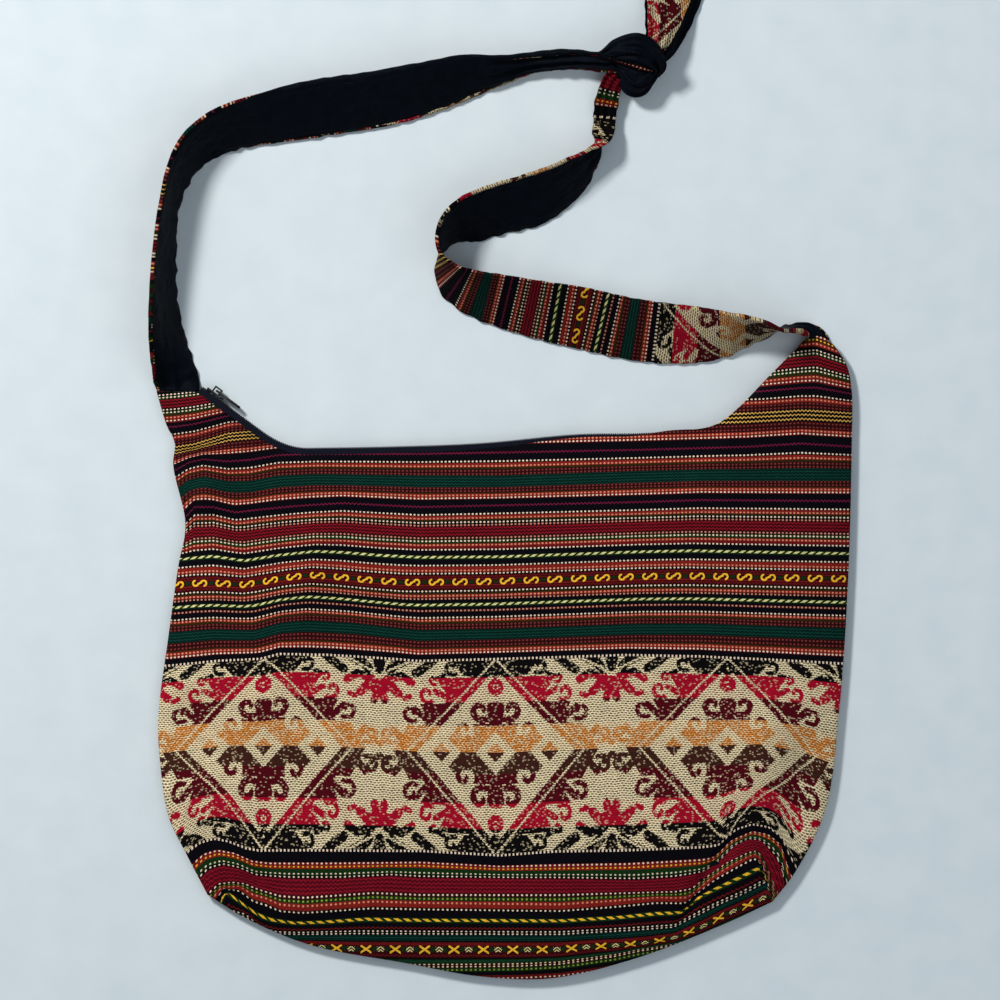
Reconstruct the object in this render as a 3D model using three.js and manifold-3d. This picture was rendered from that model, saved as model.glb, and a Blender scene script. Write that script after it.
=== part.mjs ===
// A woven shoulder bag lying flat on its back: a cloth body with two horns, a zip across its scooped
// mouth, and two lined strap halves tied together in one overhand knot.
// Millimetres. The origin is on the surface the bag lies on, +Z points up, +Y points to the knot.
import * as THREE from "three";
import { mergeVertices } from "three/addons/utils/BufferGeometryUtils.js";
import Module from "manifold-3d";

const wasm = await Module();
wasm.setup();

// Driving dimensions of the body
const BODY_WIDTH = 394; // side seam to side seam
const BODY_HEIGHT = 366; // base to the top of the right horn
const LOFT = 19; // highest point of the empty body
const CLOTH = 1.2; // woven cloth
const LINING = 0.5; // black cotton
const CLEARANCE = 0.3; // between sewn layers

// Driving dimensions of the straps and the knot
const STRAP_WIDTH = 36;
const STRAP_BORDER = 1.5; // woven border beside the strap's lining
const STRAP_REST = 0.2; // from the surface to the strap's lower edge
const ROOT_GAP = 2.02; // from the left strap's root to the zip's closed end
const KNOT_WIDTH = 38;
const KNOT_HEIGHT = 29;

// Driving dimensions of the zip
const COIL_RADIUS = 1;
const COIL_SPLIT = 1.2; // between the two coils, for the slider's post
const TAPE = 0.5;
const TAPE_WIDTH = 6.5;
const TAPE_SHOW = 3.3; // from the coils to the cloth's edge
const STOP_LENGTH = 2.2;
const SLIDER_LENGTH = 11;
const SLIDER_WIDTH = 8;
const SLIDER_PLATE = 1.2;
const BRIDGE_WIDTH = 1.6;
const BRIDGE_BAR = 0.9;
const BRIDGE_SPAN = 5.2;
const PULL_LENGTH = 16;
const PULL_WIDTH = 6;
const PULL_THICKNESS = 1.4;
const PULL_EYE_WIDTH = 4.4;
const PULL_BAR = 1.4;

// Heights that follow from them
const COIL_OFFSET = COIL_SPLIT / 2 + COIL_RADIUS;
const TAPE_INNER = COIL_OFFSET + COIL_RADIUS + CLEARANCE;
const TAPE_OUTER = TAPE_INNER + TAPE;
const LIP = TAPE_OUTER + CLEARANCE; // half of the mouth's opening between the panels
const MIDDLE = LIP + CLOTH; // height of the sewn rim and of the zip
const CROWN = LOFT - CLOTH; // underside of the front panel at its highest

// Planform points are drawn at this size and follow the body's driving dimensions
const DRAWN_WIDTH = 394;
const DRAWN_HEIGHT = 366;
const place = ([x, y]) => new THREE.Vector2((x * BODY_WIDTH) / DRAWN_WIDTH, (y * BODY_HEIGHT) / DRAWN_HEIGHT);

// The middle of the body, which every ray to its edge leaves
const HEART = place([8.6, -25.7]);

// The sewn edge, from the left horn down the left side, along the base and up to the right horn
const LEFT_SIDE = [
  [-198, 150], [-192, 130], [-187.5, 121], [-188.5, 108], [-181.5, 74], [-185.5, 51],
  [-191, 12], [-197, -36], [-196, -60], [-191, -92], [-181, -113], [-169, -136],
];
const BASE = [
  [-169, -136], [-148, -149], [-111, -164.5], [-56, -175], [-14, -182.5], [27, -183.5],
  [75, -172], [124, -153], [152, -140],
];
const RIGHT_SIDE = [
  [152, -140], [165, -123], [182, -88], [190, -30], [195, 45], [197, 121], [197, 150],
  [194, 165], [188, 175],
];
const RIGHT_SCOOP = [[167, 175], [151.5, 160], [131, 139], [121, 131.5], [110, 128.5]];

// The line of the zip: a slant up to the closed end, a bend, and the long side of the mouth
const ZIP_SLANT = [-172.5, 152];
const ZIP_BEND = [-138.8, 127.1];
const ZIP_LEVEL = [-112, 117.2];
const BEND_PULL = 10; // how far the bend's ends keep their direction
const MOUTH = [ZIP_LEVEL, [-66, 118], [-14, 120], [41, 125], [75, 125.5], [101, 126.8]];

// Strap routes: x, y, roll in degrees, share of the strap's width, and lift above the surface.
// At roll 0 the woven side is up, at 90 the strap stands on its edge, at 180 the lining is up.
const LEFT_ROUTE = [
  [-186.4, 150.3, 180, 0.66], [-187.6, 157, 166, 0.7], [-189.6, 167, 140, 0.78],
  [-192.1, 181.3, 122, 0.92], [-193.8, 205, 110, 1], [-192.9, 230.9, 106, 1],
  [-190.6, 254, 103, 1], [-184.1, 275.3, 110, 1], [-175.6, 287.9, 120, 1],
  [-162.5, 297, 129, 1], [-148.2, 302.1, 135, 1], [-104.3, 310.9, 147, 1],
  [-71.3, 315.8, 145, 1], [-45.6, 321.5, 138, 1], [-22.2, 328.3, 140, 0.83],
  [-1.7, 332.3, 135, 0.61], [17.1, 336.6, 140, 0.4, 2], [37.1, 338.2, 145, 0.36, 5],
  [55.9, 336.3, 150, 0.33, 9], [73.5, 335.2, 150, 0.33, 10],
];
const RIGHT_ROUTE = [
  [177.3, 175.3, 180, 0.5], [177.2, 180.4, 157, 0.42], [174.6, 184.4, 134, 0.38],
  [169.5, 186, 112, 0.46], [163.5, 186, 100, 0.68], [157, 185.4, 94, 0.9], [149.9, 185, 80, 1],
  [136.8, 184.3, 63, 1],
  [122.6, 182.4, 44, 1], [105.5, 182.4, 27, 1], [88.4, 183.5, 18, 1], [68.4, 186.4, 15, 1],
  [42.8, 192.1, 15, 1], [20, 196.4, 27, 1], [-2.9, 201.8, 38, 1], [-17.1, 205.8, 47, 1],
  [-27.9, 211.5, 57, 1], [-34.2, 219.5, 72, 1], [-36.5, 228, 90, 1], [-34.2, 236.6, 105, 1],
  [-28.5, 243.4, 120, 1], [-18.8, 248.5, 135, 1], [-2.9, 254.2, 138, 1], [14.3, 258.8, 141, 1],
  [30.2, 266.8, 133, 0.94], [42.2, 275.9, 129, 0.78], [50.7, 285.6, 115, 0.56],
  [55.3, 294.7, 60, 0.44], [56.7, 305, 30, 0.36, 1], [57.9, 314.6, 15, 0.36, 4],
  [62, 326.6, 10, 0.33, 7], [73.5, 335.2, 10, 0.33, 8],
];
const UPPER_TAIL = [
  [73.5, 335.2, 0, 0.33, 16], [85.5, 346, 0, 0.36, 15], [90, 359, 0, 0.55, 9],
  [93, 373.4, 0, 0.72, 4], [97.5, 396, 0, 0.86, 2.6], [102.6, 424.7, 0, 0.94, 2.6],
];
const LOWER_TAIL = [
  [77, 335, 180, 0.33, 8], [90, 346, 180, 0.36, 5], [94.6, 359, 180, 0.55, 1],
  [97.6, 373.4, 180, 0.72], [102.1, 396, 180, 0.86], [107.2, 423, 180, 0.94],
];
const KNOT_CENTRE = [73.5, 335.2];

// How finely curves are cut
const EDGE_STEP = 17;
const ROUTE_STEPS = 2;
const RING_SHARES = [0.3, 0.55, 0.75, 0.9, 1];

// Materials
const material = (name, color, roughness, metalness = 0) =>
  Object.assign(new THREE.MeshStandardMaterial({ color, roughness, metalness }), { name });
const wovenCloth = material("woven_cloth", 0x6b2027, 0.9);
const blackCotton = material("black_cotton", 0x14161d, 0.8);
const zipTapeCloth = material("zip_tape", 0x23263a, 0.85);
const zipCoilPlastic = material("zip_coil", 0x15161c, 0.45);
const zipMetal = material("zip_metal", 0x1b1b1f, 0.4, 0.6);

// Closed meshes and their booleans

// A closed mesh from points and triangles, turned so that its faces point out.
function closedMesh(points, triangles) {
  let volume = 0;
  for (const [a, b, c] of triangles) {
    volume += points[a].dot(new THREE.Vector3().crossVectors(points[b], points[c]));
  }
  const facing = volume > 0 ? triangles : triangles.map(([a, b, c]) => [a, c, b]);
  const geometry = new THREE.BufferGeometry().setFromPoints(points);
  return geometry.setIndex(facing.flat());
}

// The two triangles of a four-sided face.
const quad = (a, b, c, d) => [[a, b, c], [a, c, d]];

// A tube of equal rings of points, closed by a fan at each end. The second half of a ring splits its faces
// along the other diagonal, so that the two sides of a thin, twisted tube bend alike.
function loft(rings) {
  const around = rings[0].length;
  const triangles = [];
  for (let r = 0; r + 1 < rings.length; r++) {
    for (let i = 0; i < around; i++) {
      const near = r * around + i;
      const side = r * around + ((i + 1) % around);
      const corners = [near, side, side + around, near + around];
      if (i >= around / 2) corners.push(corners.shift());
      triangles.push(...quad(...corners));
    }
  }
  const last = (rings.length - 1) * around;
  for (let i = 1; i + 1 < around; i++) {
    triangles.push([0, i + 1, i], [last, last + i, last + i + 1]);
  }
  return closedMesh(rings.flat(), triangles);
}

// A manifold solid of a closed geometry.
function solid(geometry) {
  const bare = new THREE.BufferGeometry();
  bare.setAttribute("position", geometry.getAttribute("position").clone());
  bare.setIndex(geometry.index);
  const merged = mergeVertices(bare, 1e-3);
  const vertProperties = new Float32Array(merged.getAttribute("position").array);
  const triVerts = new Uint32Array(merged.index.array);
  return new wasm.Manifold(new wasm.Mesh({ numProp: 3, vertProperties, triVerts }));
}

// The geometry of a manifold solid.
function geometryOf(made) {
  const mesh = made.getMesh();
  const geometry = new THREE.BufferGeometry();
  geometry.setAttribute("position", new THREE.BufferAttribute(mesh.vertProperties, 3));
  return geometry.setIndex(new THREE.BufferAttribute(mesh.triVerts, 1));
}

const bag = new THREE.Group();

function addMesh(name, geometry, its) {
  geometry.computeVertexNormals();
  const mesh = new THREE.Mesh(geometry, its);
  mesh.name = name;
  bag.add(mesh);
  return mesh;
}

// The zip's line

// The zip's closed end lies on its slant, beside the root of the left strap.
function zipClosedEnd() {
  const [x, y, , share] = LEFT_ROUTE[0];
  const rootEdge = place([x, y]).x + (share * STRAP_WIDTH) / 2;
  const along = (zipBend.x - rootEdge - ROOT_GAP) / zipWay.x;
  return zipBend.clone().addScaledVector(zipWay, -along);
}

const zipBend = place(ZIP_BEND);
const zipLevel = place(ZIP_LEVEL);
const zipWay = zipBend.clone().sub(place(ZIP_SLANT)).normalize();
const zipStart = zipClosedEnd();
const outward = (way) => new THREE.Vector2(-way.y, way.x);

// Points along the zip with the direction of travel, from its closed end, between two distances.
function zipStations(from, cutEnd) {
  const bend = new THREE.CubicBezierCurve(
    zipBend,
    zipBend.clone().addScaledVector(zipWay, BEND_PULL),
    zipLevel.clone().add(new THREE.Vector2(-BEND_PULL, 0)),
    zipLevel,
  );
  const mouth = new THREE.SplineCurve(MOUTH.map(place));
  const first = zipStart.clone().addScaledVector(zipWay, from);
  const straight = new THREE.LineCurve(first, zipBend);
  const stations = [];
  for (const [curve, steps] of [[straight, 3], [bend, 5], [mouth, 13]]) {
    for (let i = stations.length ? 1 : 0; i <= steps; i++) {
      stations.push({ at: curve.getPointAt(i / steps), way: curve.getTangentAt(i / steps) });
    }
  }
  const end = stations[stations.length - 1];
  end.at.addScaledVector(end.way, -cutEnd);
  return stations;
}

// A point beside the zip's line: out from the bag, and above the middle of the rim.
function besideZip({ at, way }, out, up) {
  const p = at.clone().addScaledVector(outward(way), out);
  return new THREE.Vector3(p.x, p.y, MIDDLE + up);
}

// The body's outline

// Points of a smooth edge at about equal steps, without its last point.
function edgePoints(controls) {
  const curve = new THREE.SplineCurve(controls.map(place));
  const steps = Math.max(2, Math.round(curve.getLength() / EDGE_STEP));
  return curve.getSpacedPoints(steps).slice(0, -1);
}

// The outline, each point with how far the two panels are parted there: 0 where they are sewn
// together, 1 beside the zip.
function bodyOutline() {
  const HORN_STEPS = 4;
  const outline = [];
  const push = (p, parted) => outline.push({ p, parted });
  const beside = zipStations(0, 0).map((station) => {
    const p = besideZip(station, -TAPE_SHOW, 0);
    return new THREE.Vector2(p.x, p.y);
  });
  const hornCorner = place(LEFT_SIDE[0]);
  for (let i = 1; i < HORN_STEPS; i++) {
    const away = i / HORN_STEPS;
    push(beside[0].clone().lerp(hornCorner, away), 1 - THREE.MathUtils.smoothstep(away, 0.25, 1));
  }
  for (const edge of [LEFT_SIDE, BASE, RIGHT_SIDE]) {
    for (const p of edgePoints(edge)) push(p, 0);
  }
  const rightCorner = place(RIGHT_SIDE[RIGHT_SIDE.length - 1]);
  const scoop = edgePoints(RIGHT_SCOOP);
  push(rightCorner, 0);
  push(rightCorner.clone().lerp(scoop[0], 0.5), 0);
  scoop.forEach((p, i) => push(p, THREE.MathUtils.smoothstep(i / scoop.length, 0.5, 1)));
  for (const p of beside.reverse()) push(p, 1);
  return outline;
}

const OUTLINE = bodyOutline();

// The body's sheets

// Underside of the front panel at a share of the way from the heart to an outline point.
function frontUnderside(share, { parted }) {
  const rim = MIDDLE + THREE.MathUtils.lerp(CLEARANCE / 2, LIP, parted);
  return rim + (CROWN - rim) * (1 - share ** 3);
}

// Underside of the back panel, flat on the surface and raised to the sewn rim at its edge.
function backUnderside(share, { parted }) {
  const rim = MIDDLE - THREE.MathUtils.lerp(CLEARANCE / 2, LIP, parted) - CLOTH;
  const FLAT = RING_SHARES[RING_SHARES.length - 2];
  return Math.max(0, (rim * (share - FLAT)) / (1 - FLAT));
}

// The value of a height at a share, straight between the rings where a sheet has its points.
function betweenRings(height, share, point) {
  const rings = [0, ...RING_SHARES];
  const above = Math.max(1, rings.findIndex((ring) => ring >= share));
  const [low, high] = [rings[above - 1], rings[above]];
  const mix = (share - low) / (high - low);
  return THREE.MathUtils.lerp(height(low, point), height(high, point), mix);
}

// A closed sheet of rings of points about the heart. reach is how far each ray goes.
function sheet(height, thickness, reach = () => 1) {
  const count = OUTLINE.length;
  const points = [];
  for (const lift of [0, thickness]) {
    points.push(new THREE.Vector3(HEART.x, HEART.y, height(0, OUTLINE[0]) + lift));
    RING_SHARES.forEach((ring, r) => {
      const isLast = r === RING_SHARES.length - 1;
      for (const point of OUTLINE) {
        const far = reach(point);
        const inner = Math.min(ring, far - 0.01 * (RING_SHARES.length - 1 - r));
        const share = isLast ? far : inner;
        const p = HEART.clone().lerp(point.p, share);
        points.push(new THREE.Vector3(p.x, p.y, betweenRings(height, share, point) + lift));
      }
    });
  }
  const layer = 1 + count * RING_SHARES.length;
  const triangles = [];
  for (let i = 0; i < count; i++) {
    const next = (i + 1) % count;
    triangles.push([0, 1 + next, 1 + i], [layer, layer + 1 + i, layer + 1 + next]);
    for (let r = 0; r + 1 < RING_SHARES.length; r++) {
      const row = 1 + r * count;
      triangles.push(...quad(row + i, row + next, row + count + next, row + count + i));
      const top = layer + row;
      triangles.push(...quad(top + i, top + count + i, top + count + next, top + next));
    }
    const edge = 1 + count * (RING_SHARES.length - 1);
    triangles.push(...quad(edge + i, edge + next, layer + edge + next, layer + edge + i));
  }
  return closedMesh(points, triangles);
}

// The lining stops short of the rim, and further short beside the zip's slant and in the horns.
const LINING_REACH = 0.93;
const LINING_REACH_HORN = 0.78;
function liningReach({ p }) {
  const hornHeight = place([0, 100]).y;
  const nearHorn = THREE.MathUtils.smoothstep(p.y, hornHeight * 0.9, hornHeight * 1.1);
  const aside = THREE.MathUtils.smoothstep(Math.abs(p.x), BODY_WIDTH * 0.24, BODY_WIDTH * 0.32);
  return THREE.MathUtils.lerp(LINING_REACH, LINING_REACH_HORN, nearHorn * aside);
}

addMesh("front_panel", sheet(frontUnderside, CLOTH), wovenCloth);
addMesh("back_panel", sheet(backUnderside, CLOTH), wovenCloth);
const liningUnderFront = (share, point) => frontUnderside(share, point) - CLEARANCE - LINING;
const liningOverBack = (share, point) => backUnderside(share, point) + CLOTH + CLEARANCE;
addMesh("lining_front", sheet(liningUnderFront, LINING, liningReach), blackCotton);
addMesh("lining_back", sheet(liningOverBack, LINING, liningReach), blackCotton);

// The zip

// One half of the zip's tape, above or below the coils.
function zipTape(side) {
  const low = side * TAPE_INNER;
  const high = side * TAPE_OUTER;
  return loft(
    zipStations(0, 0).map((station) => [
      besideZip(station, 0, low),
      besideZip(station, 0, high),
      besideZip(station, -TAPE_WIDTH, high),
      besideZip(station, -TAPE_WIDTH, low),
    ]),
  );
}

// One half of the zip's coil.
function zipCoil(side) {
  const SIDES = 8;
  const room = STOP_LENGTH + CLEARANCE;
  return loft(
    zipStations(room, room).map((station) =>
      Array.from({ length: SIDES }, (_, i) => {
        const turn = (2 * Math.PI * (i + 0.5)) / SIDES;
        const out = COIL_RADIUS * Math.cos(turn);
        return besideZip(station, out, side * COIL_OFFSET + COIL_RADIUS * Math.sin(turn));
      }),
    ),
  );
}

for (const [word, side] of [["front", 1], ["back", -1]]) {
  addMesh(`zip_tape_${word}`, zipTape(side), zipTapeCloth);
  addMesh(`zip_coil_${word}`, zipCoil(side), zipCoilPlastic);
}

// A mesh in the zip's own directions: x along the zip, y out of the bag, z up.
function placeOnZip(mesh, at, way) {
  mesh.position.set(at.x, at.y, MIDDLE);
  mesh.rotation.z = Math.atan2(way.y, way.x);
}

// A block that closes each end of the coils.
function zipStop(name, at, way) {
  const between = 2 * (TAPE_INNER - CLEARANCE);
  placeOnZip(addMesh(name, new THREE.BoxGeometry(STOP_LENGTH, 2 * COIL_RADIUS, between), zipMetal), at, way);
}

const zipEnd = zipStations(0, STOP_LENGTH / 2).pop();
zipStop("zip_stop_left", zipStart.clone().addScaledVector(zipWay, STOP_LENGTH / 2), zipWay);
zipStop("zip_stop_right", zipEnd.at, zipEnd.way);

// The slider's plates lie out of the coils and in from them, and a post between the coils joins them.
const plateGap = COIL_RADIUS + CLEARANCE;
const plateTop = plateGap + SLIDER_PLATE;
const pullTurn = (PULL_BAR / 2) * Math.SQRT2; // radius that the pull's bar sweeps
const pullAxis = plateTop + pullTurn + CLEARANCE;
const bridgeUnder = pullAxis + pullTurn + CLEARANCE;
const POST_LENGTH = 3;

function box(x0, x1, y0, y1, z0, z1) {
  const block = new THREE.BoxGeometry(x1 - x0, y1 - y0, z1 - z0);
  return solid(block.translate((x0 + x1) / 2, (y0 + y1) / 2, (z0 + z1) / 2));
}

// A flat plate of a tapered outline along the zip, between two distances from the coils.
function sliderPlate(halfWidth, low, high) {
  const half = SLIDER_LENGTH / 2;
  const TAPER = 0.72; // the trailing end's width as a share of the leading end's
  const outline = new THREE.Shape([
    new THREE.Vector2(-half, -halfWidth * TAPER),
    new THREE.Vector2(half * 0.2, -halfWidth * TAPER),
    new THREE.Vector2(half * 0.7, -halfWidth),
    new THREE.Vector2(half, -halfWidth * 0.7),
    new THREE.Vector2(half, halfWidth * 0.7),
    new THREE.Vector2(half * 0.7, halfWidth),
    new THREE.Vector2(half * 0.2, halfWidth * TAPER),
    new THREE.Vector2(-half, halfWidth * TAPER),
  ]);
  const plate = new THREE.ExtrudeGeometry(outline, { depth: high - low, bevelEnabled: false });
  return solid(plate.rotateX(-Math.PI / 2).translate(0, low, 0));
}

function zipSlider() {
  const half = SLIDER_LENGTH / 2;
  const postHalf = COIL_SPLIT / 2 - CLEARANCE;
  const bridgeHalf = BRIDGE_WIDTH / 2;
  const spanHalf = BRIDGE_SPAN / 2;
  const outer = sliderPlate(SLIDER_WIDTH / 2, plateGap, plateTop);
  const inner = sliderPlate(TAPE_INNER - CLEARANCE, -plateTop, -plateGap);
  const post = box(-half, POST_LENGTH - half, -plateTop, plateTop, -postHalf, postHalf);
  const bridgeTop = bridgeUnder + BRIDGE_BAR;
  const bar = box(-spanHalf, spanHalf, bridgeUnder, bridgeTop, -bridgeHalf, bridgeHalf);
  let made = outer.add(inner).add(post).add(bar);
  for (const x of [-spanHalf, spanHalf - BRIDGE_BAR]) {
    made = made.add(box(x, x + BRIDGE_BAR, plateGap, bridgeTop, -bridgeHalf, bridgeHalf));
  }
  return geometryOf(made);
}

// The pull: a bar under the bridge, two arms round it and a tab. Its bar turns about z at the origin.
function zipPull() {
  const eyeHalf = PULL_EYE_WIDTH / 2;
  const tabHalf = PULL_WIDTH / 2;
  const eyeEnd = Math.hypot(BRIDGE_SPAN / 2, bridgeUnder + BRIDGE_BAR - pullAxis) + CLEARANCE;
  const holeHalf = BRIDGE_WIDTH / 2 + CLEARANCE;
  const back = PULL_BAR / 2;
  const CORNER = 1.5;
  const outline = new THREE.Shape([
    new THREE.Vector2(-back, -eyeHalf),
    new THREE.Vector2(eyeEnd, -eyeHalf),
    new THREE.Vector2(eyeEnd + CORNER, -tabHalf),
    new THREE.Vector2(PULL_LENGTH - CORNER, -tabHalf),
    new THREE.Vector2(PULL_LENGTH, CORNER - tabHalf),
    new THREE.Vector2(PULL_LENGTH, tabHalf - CORNER),
    new THREE.Vector2(PULL_LENGTH - CORNER, tabHalf),
    new THREE.Vector2(eyeEnd + CORNER, tabHalf),
    new THREE.Vector2(eyeEnd, eyeHalf),
    new THREE.Vector2(-back, eyeHalf),
  ]);
  outline.holes.push(
    new THREE.Path([
      new THREE.Vector2(back, -holeHalf),
      new THREE.Vector2(back, holeHalf),
      new THREE.Vector2(eyeEnd, holeHalf),
      new THREE.Vector2(eyeEnd, -holeHalf),
    ]),
  );
  const plate = new THREE.ExtrudeGeometry(outline, { depth: PULL_THICKNESS, bevelEnabled: false });
  return geometryOf(solid(plate.rotateX(-Math.PI / 2).translate(0, -PULL_THICKNESS / 2, 0)));
}

const sliderAway = STOP_LENGTH + CLEARANCE + SLIDER_LENGTH / 2;
const sliderAt = zipStart.clone().addScaledVector(zipWay, sliderAway);
placeOnZip(addMesh("zip_slider", zipSlider(), zipMetal), sliderAt, zipWay);
const pullAt = sliderAt.clone().addScaledVector(outward(zipWay), pullAxis);
placeOnZip(addMesh("zip_pull", zipPull(), zipMetal), pullAt, zipWay);

// The straps

// Sections along a strap: its middle, the direction across it, the woven side's normal, and half its width.
// A strap rests on its lower edge. rootHeight sets the height of its first section instead.
function strapSections(route, rootHeight) {
  const line = new THREE.CatmullRomCurve3(
    route.map(([x, y, , , lift = 0]) => {
      const p = place([x, y]);
      return new THREE.Vector3(p.x, p.y, lift);
    }),
  );
  const lean = new THREE.CatmullRomCurve3(
    route.map(([, , roll, share]) => new THREE.Vector3(roll, share, 0)),
  );
  const steps = (route.length - 1) * ROUTE_STEPS;
  return Array.from({ length: steps + 1 }, (_, i) => {
    const t = i / steps;
    const middle = line.getPoint(t);
    const settings = lean.getPoint(t);
    const way = line.getTangent(t).setZ(0).normalize();
    if (i === 0 && rootHeight !== undefined) way.set(0, 1, 0);
    const left = new THREE.Vector3(-way.y, way.x, 0);
    const roll = THREE.MathUtils.degToRad(settings.x);
    const up = new THREE.Vector3(0, 0, 1);
    const normal = up.clone().multiplyScalar(Math.cos(roll)).addScaledVector(left, Math.sin(roll));
    const across = left.clone().multiplyScalar(Math.cos(roll)).addScaledVector(up, -Math.sin(roll));
    const half = (settings.y * STRAP_WIDTH) / 2;
    const below = CLEARANCE / 2 + (Math.cos(roll) < 0 ? CLOTH : LINING);
    const resting = STRAP_REST + half * Math.abs(Math.sin(roll)) + below * Math.abs(Math.cos(roll));
    const isRoot = i === 0 && rootHeight !== undefined;
    middle.z = isRoot ? rootHeight : middle.z + resting;
    return { middle, across, normal, half };
  });
}

// One layer of a strap, from its near face, which faces the other layer, to its far face. Both layers have
// points a border's width in from the strap's edges, so that their near faces twist alike.
function strapLayer(sections, near, far, reachesEdge) {
  return loft(
    sections.map(({ middle, across, normal, half }) => {
      const corner = (side, depth) =>
        middle.clone().addScaledVector(across, side).addScaledVector(normal, depth);
      const inner = half - STRAP_BORDER;
      const sides = reachesEdge ? [-half, -inner, inner, half] : [-inner, inner];
      const nearFace = sides.map((side) => corner(side, near));
      const farFace = sides.map((side) => corner(side, far));
      return [...nearFace, ...farFace.reverse()];
    }),
  );
}

const knotCentre = place(KNOT_CENTRE);

// The knot as one rounded lump, grown by a margin where it cuts the straps.
function knotLump(margin) {
  const lump = new THREE.SphereGeometry(1, 20, 14).rotateX(Math.PI / 2);
  lump.scale(KNOT_WIDTH / 2 + margin, KNOT_WIDTH / 2 + margin, KNOT_HEIGHT / 2 + margin);
  return lump.translate(knotCentre.x, knotCentre.y, KNOT_HEIGHT / 2);
}

addMesh("strap_knot", geometryOf(solid(knotLump(0))), blackCotton);
const knotRoom = solid(knotLump(CLEARANCE));

function addStrap(name, route, rootHeight) {
  const sections = strapSections(route, rootHeight);
  const apart = CLEARANCE / 2;
  const cloth = solid(strapLayer(sections, apart, apart + CLOTH, true));
  const lining = solid(strapLayer(sections, -apart, -apart - LINING, false));
  addMesh(`${name}_cloth`, geometryOf(cloth.subtract(knotRoom)), wovenCloth);
  addMesh(`${name}_lining`, geometryOf(lining.subtract(knotRoom)), blackCotton);
}

addStrap("strap_left", LEFT_ROUTE, MIDDLE);
addStrap("strap_right", RIGHT_ROUTE, MIDDLE);
addStrap("tail_upper", UPPER_TAIL);
addStrap("tail_lower", LOWER_TAIL);

export default bag;
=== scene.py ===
"""A woven shoulder bag lying on its back, dressed over its construction: striped and pictorial cloth,
a coil zip, two lined straps, their overhand knot and its tails. Metres, +Z up, +Y towards the knot."""
import functools
import math
import operator

import bmesh
import bpy
import numpy as np
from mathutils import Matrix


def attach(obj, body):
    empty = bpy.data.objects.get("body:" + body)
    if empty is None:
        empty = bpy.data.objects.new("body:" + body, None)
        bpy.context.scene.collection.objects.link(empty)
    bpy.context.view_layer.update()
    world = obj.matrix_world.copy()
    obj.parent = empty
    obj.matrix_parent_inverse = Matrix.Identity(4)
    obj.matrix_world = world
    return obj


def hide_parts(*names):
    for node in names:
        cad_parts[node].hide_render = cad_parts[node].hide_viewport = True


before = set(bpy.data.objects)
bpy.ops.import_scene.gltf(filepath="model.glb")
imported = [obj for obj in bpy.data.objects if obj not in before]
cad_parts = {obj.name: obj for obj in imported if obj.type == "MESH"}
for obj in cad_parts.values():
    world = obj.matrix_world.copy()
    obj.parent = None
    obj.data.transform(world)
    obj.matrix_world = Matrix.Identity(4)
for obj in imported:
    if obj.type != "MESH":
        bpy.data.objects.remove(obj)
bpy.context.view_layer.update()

MM = 0.001

# The photograph's scale: one pixel on the bag, and the pixel over the frame's origin
PIXEL = 0.57
ORIGIN_COLUMN = 505
ORIGIN_ROW = 655

# Sizes in millimetres, as in the construction
CLOTH = 1.2
LINING = 0.5
MIDDLE = 4.9  # height of the sewn rim and of the zip
LIP = 3.7  # half of the mouth's opening
CROWN = 18.6  # highest point of the body
TAPE_INNER = 2.9
TAPE_THICK = 0.5
TAPE_WIDTH = 11  # with the part that is sewn under the cloth
TAPE_SHOW = 3.3
COIL_OFFSET = 1.6
COIL_RADIUS = 1
COIL_PITCH = 1.25
STOP_LENGTH = 2.2
STRAP_WIDTH = 36
STRAP_BORDER = 1.5
STRAP_REST = 0.2
LAYER_GAP = 0.15

# The body's outline in millimetres
HEART = (8.6, -25.7)
LEFT_SIDE = [
    (-198, 150), (-192, 130), (-187.5, 121), (-188.5, 108), (-181.5, 74), (-185.5, 51),
    (-191, 12), (-197, -36), (-196, -60), (-191, -92), (-181, -113), (-169, -136),
]
BASE = [
    (-169, -136), (-148, -149), (-111, -164.5), (-56, -175), (-14, -182.5), (27, -183.5),
    (75, -172), (124, -153), (152, -140),
]
RIGHT_SIDE = [
    (152, -140), (165, -123), (182, -88), (190, -30), (195, 45), (197, 121), (197, 150),
    (194, 165), (187, 176),
]
RIGHT_TOP = [(187, 176), (180, 181), (172, 180.5), (165, 173.5)]
RIGHT_SCOOP = [(165, 173.5), (151.5, 160), (131, 139), (121, 131.5), (110, 128.5)]
ZIP_START = (-172.5, 152)
ZIP_BEND = (-138.8, 127.1)
ZIP_LEVEL = (-112, 117.2)
ZIP_MOUTH = [ZIP_LEVEL, (-66, 118), (-14, 120), (41, 125), (75, 125.5), (101, 126.8)]
BEND_PULL = 10

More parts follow.
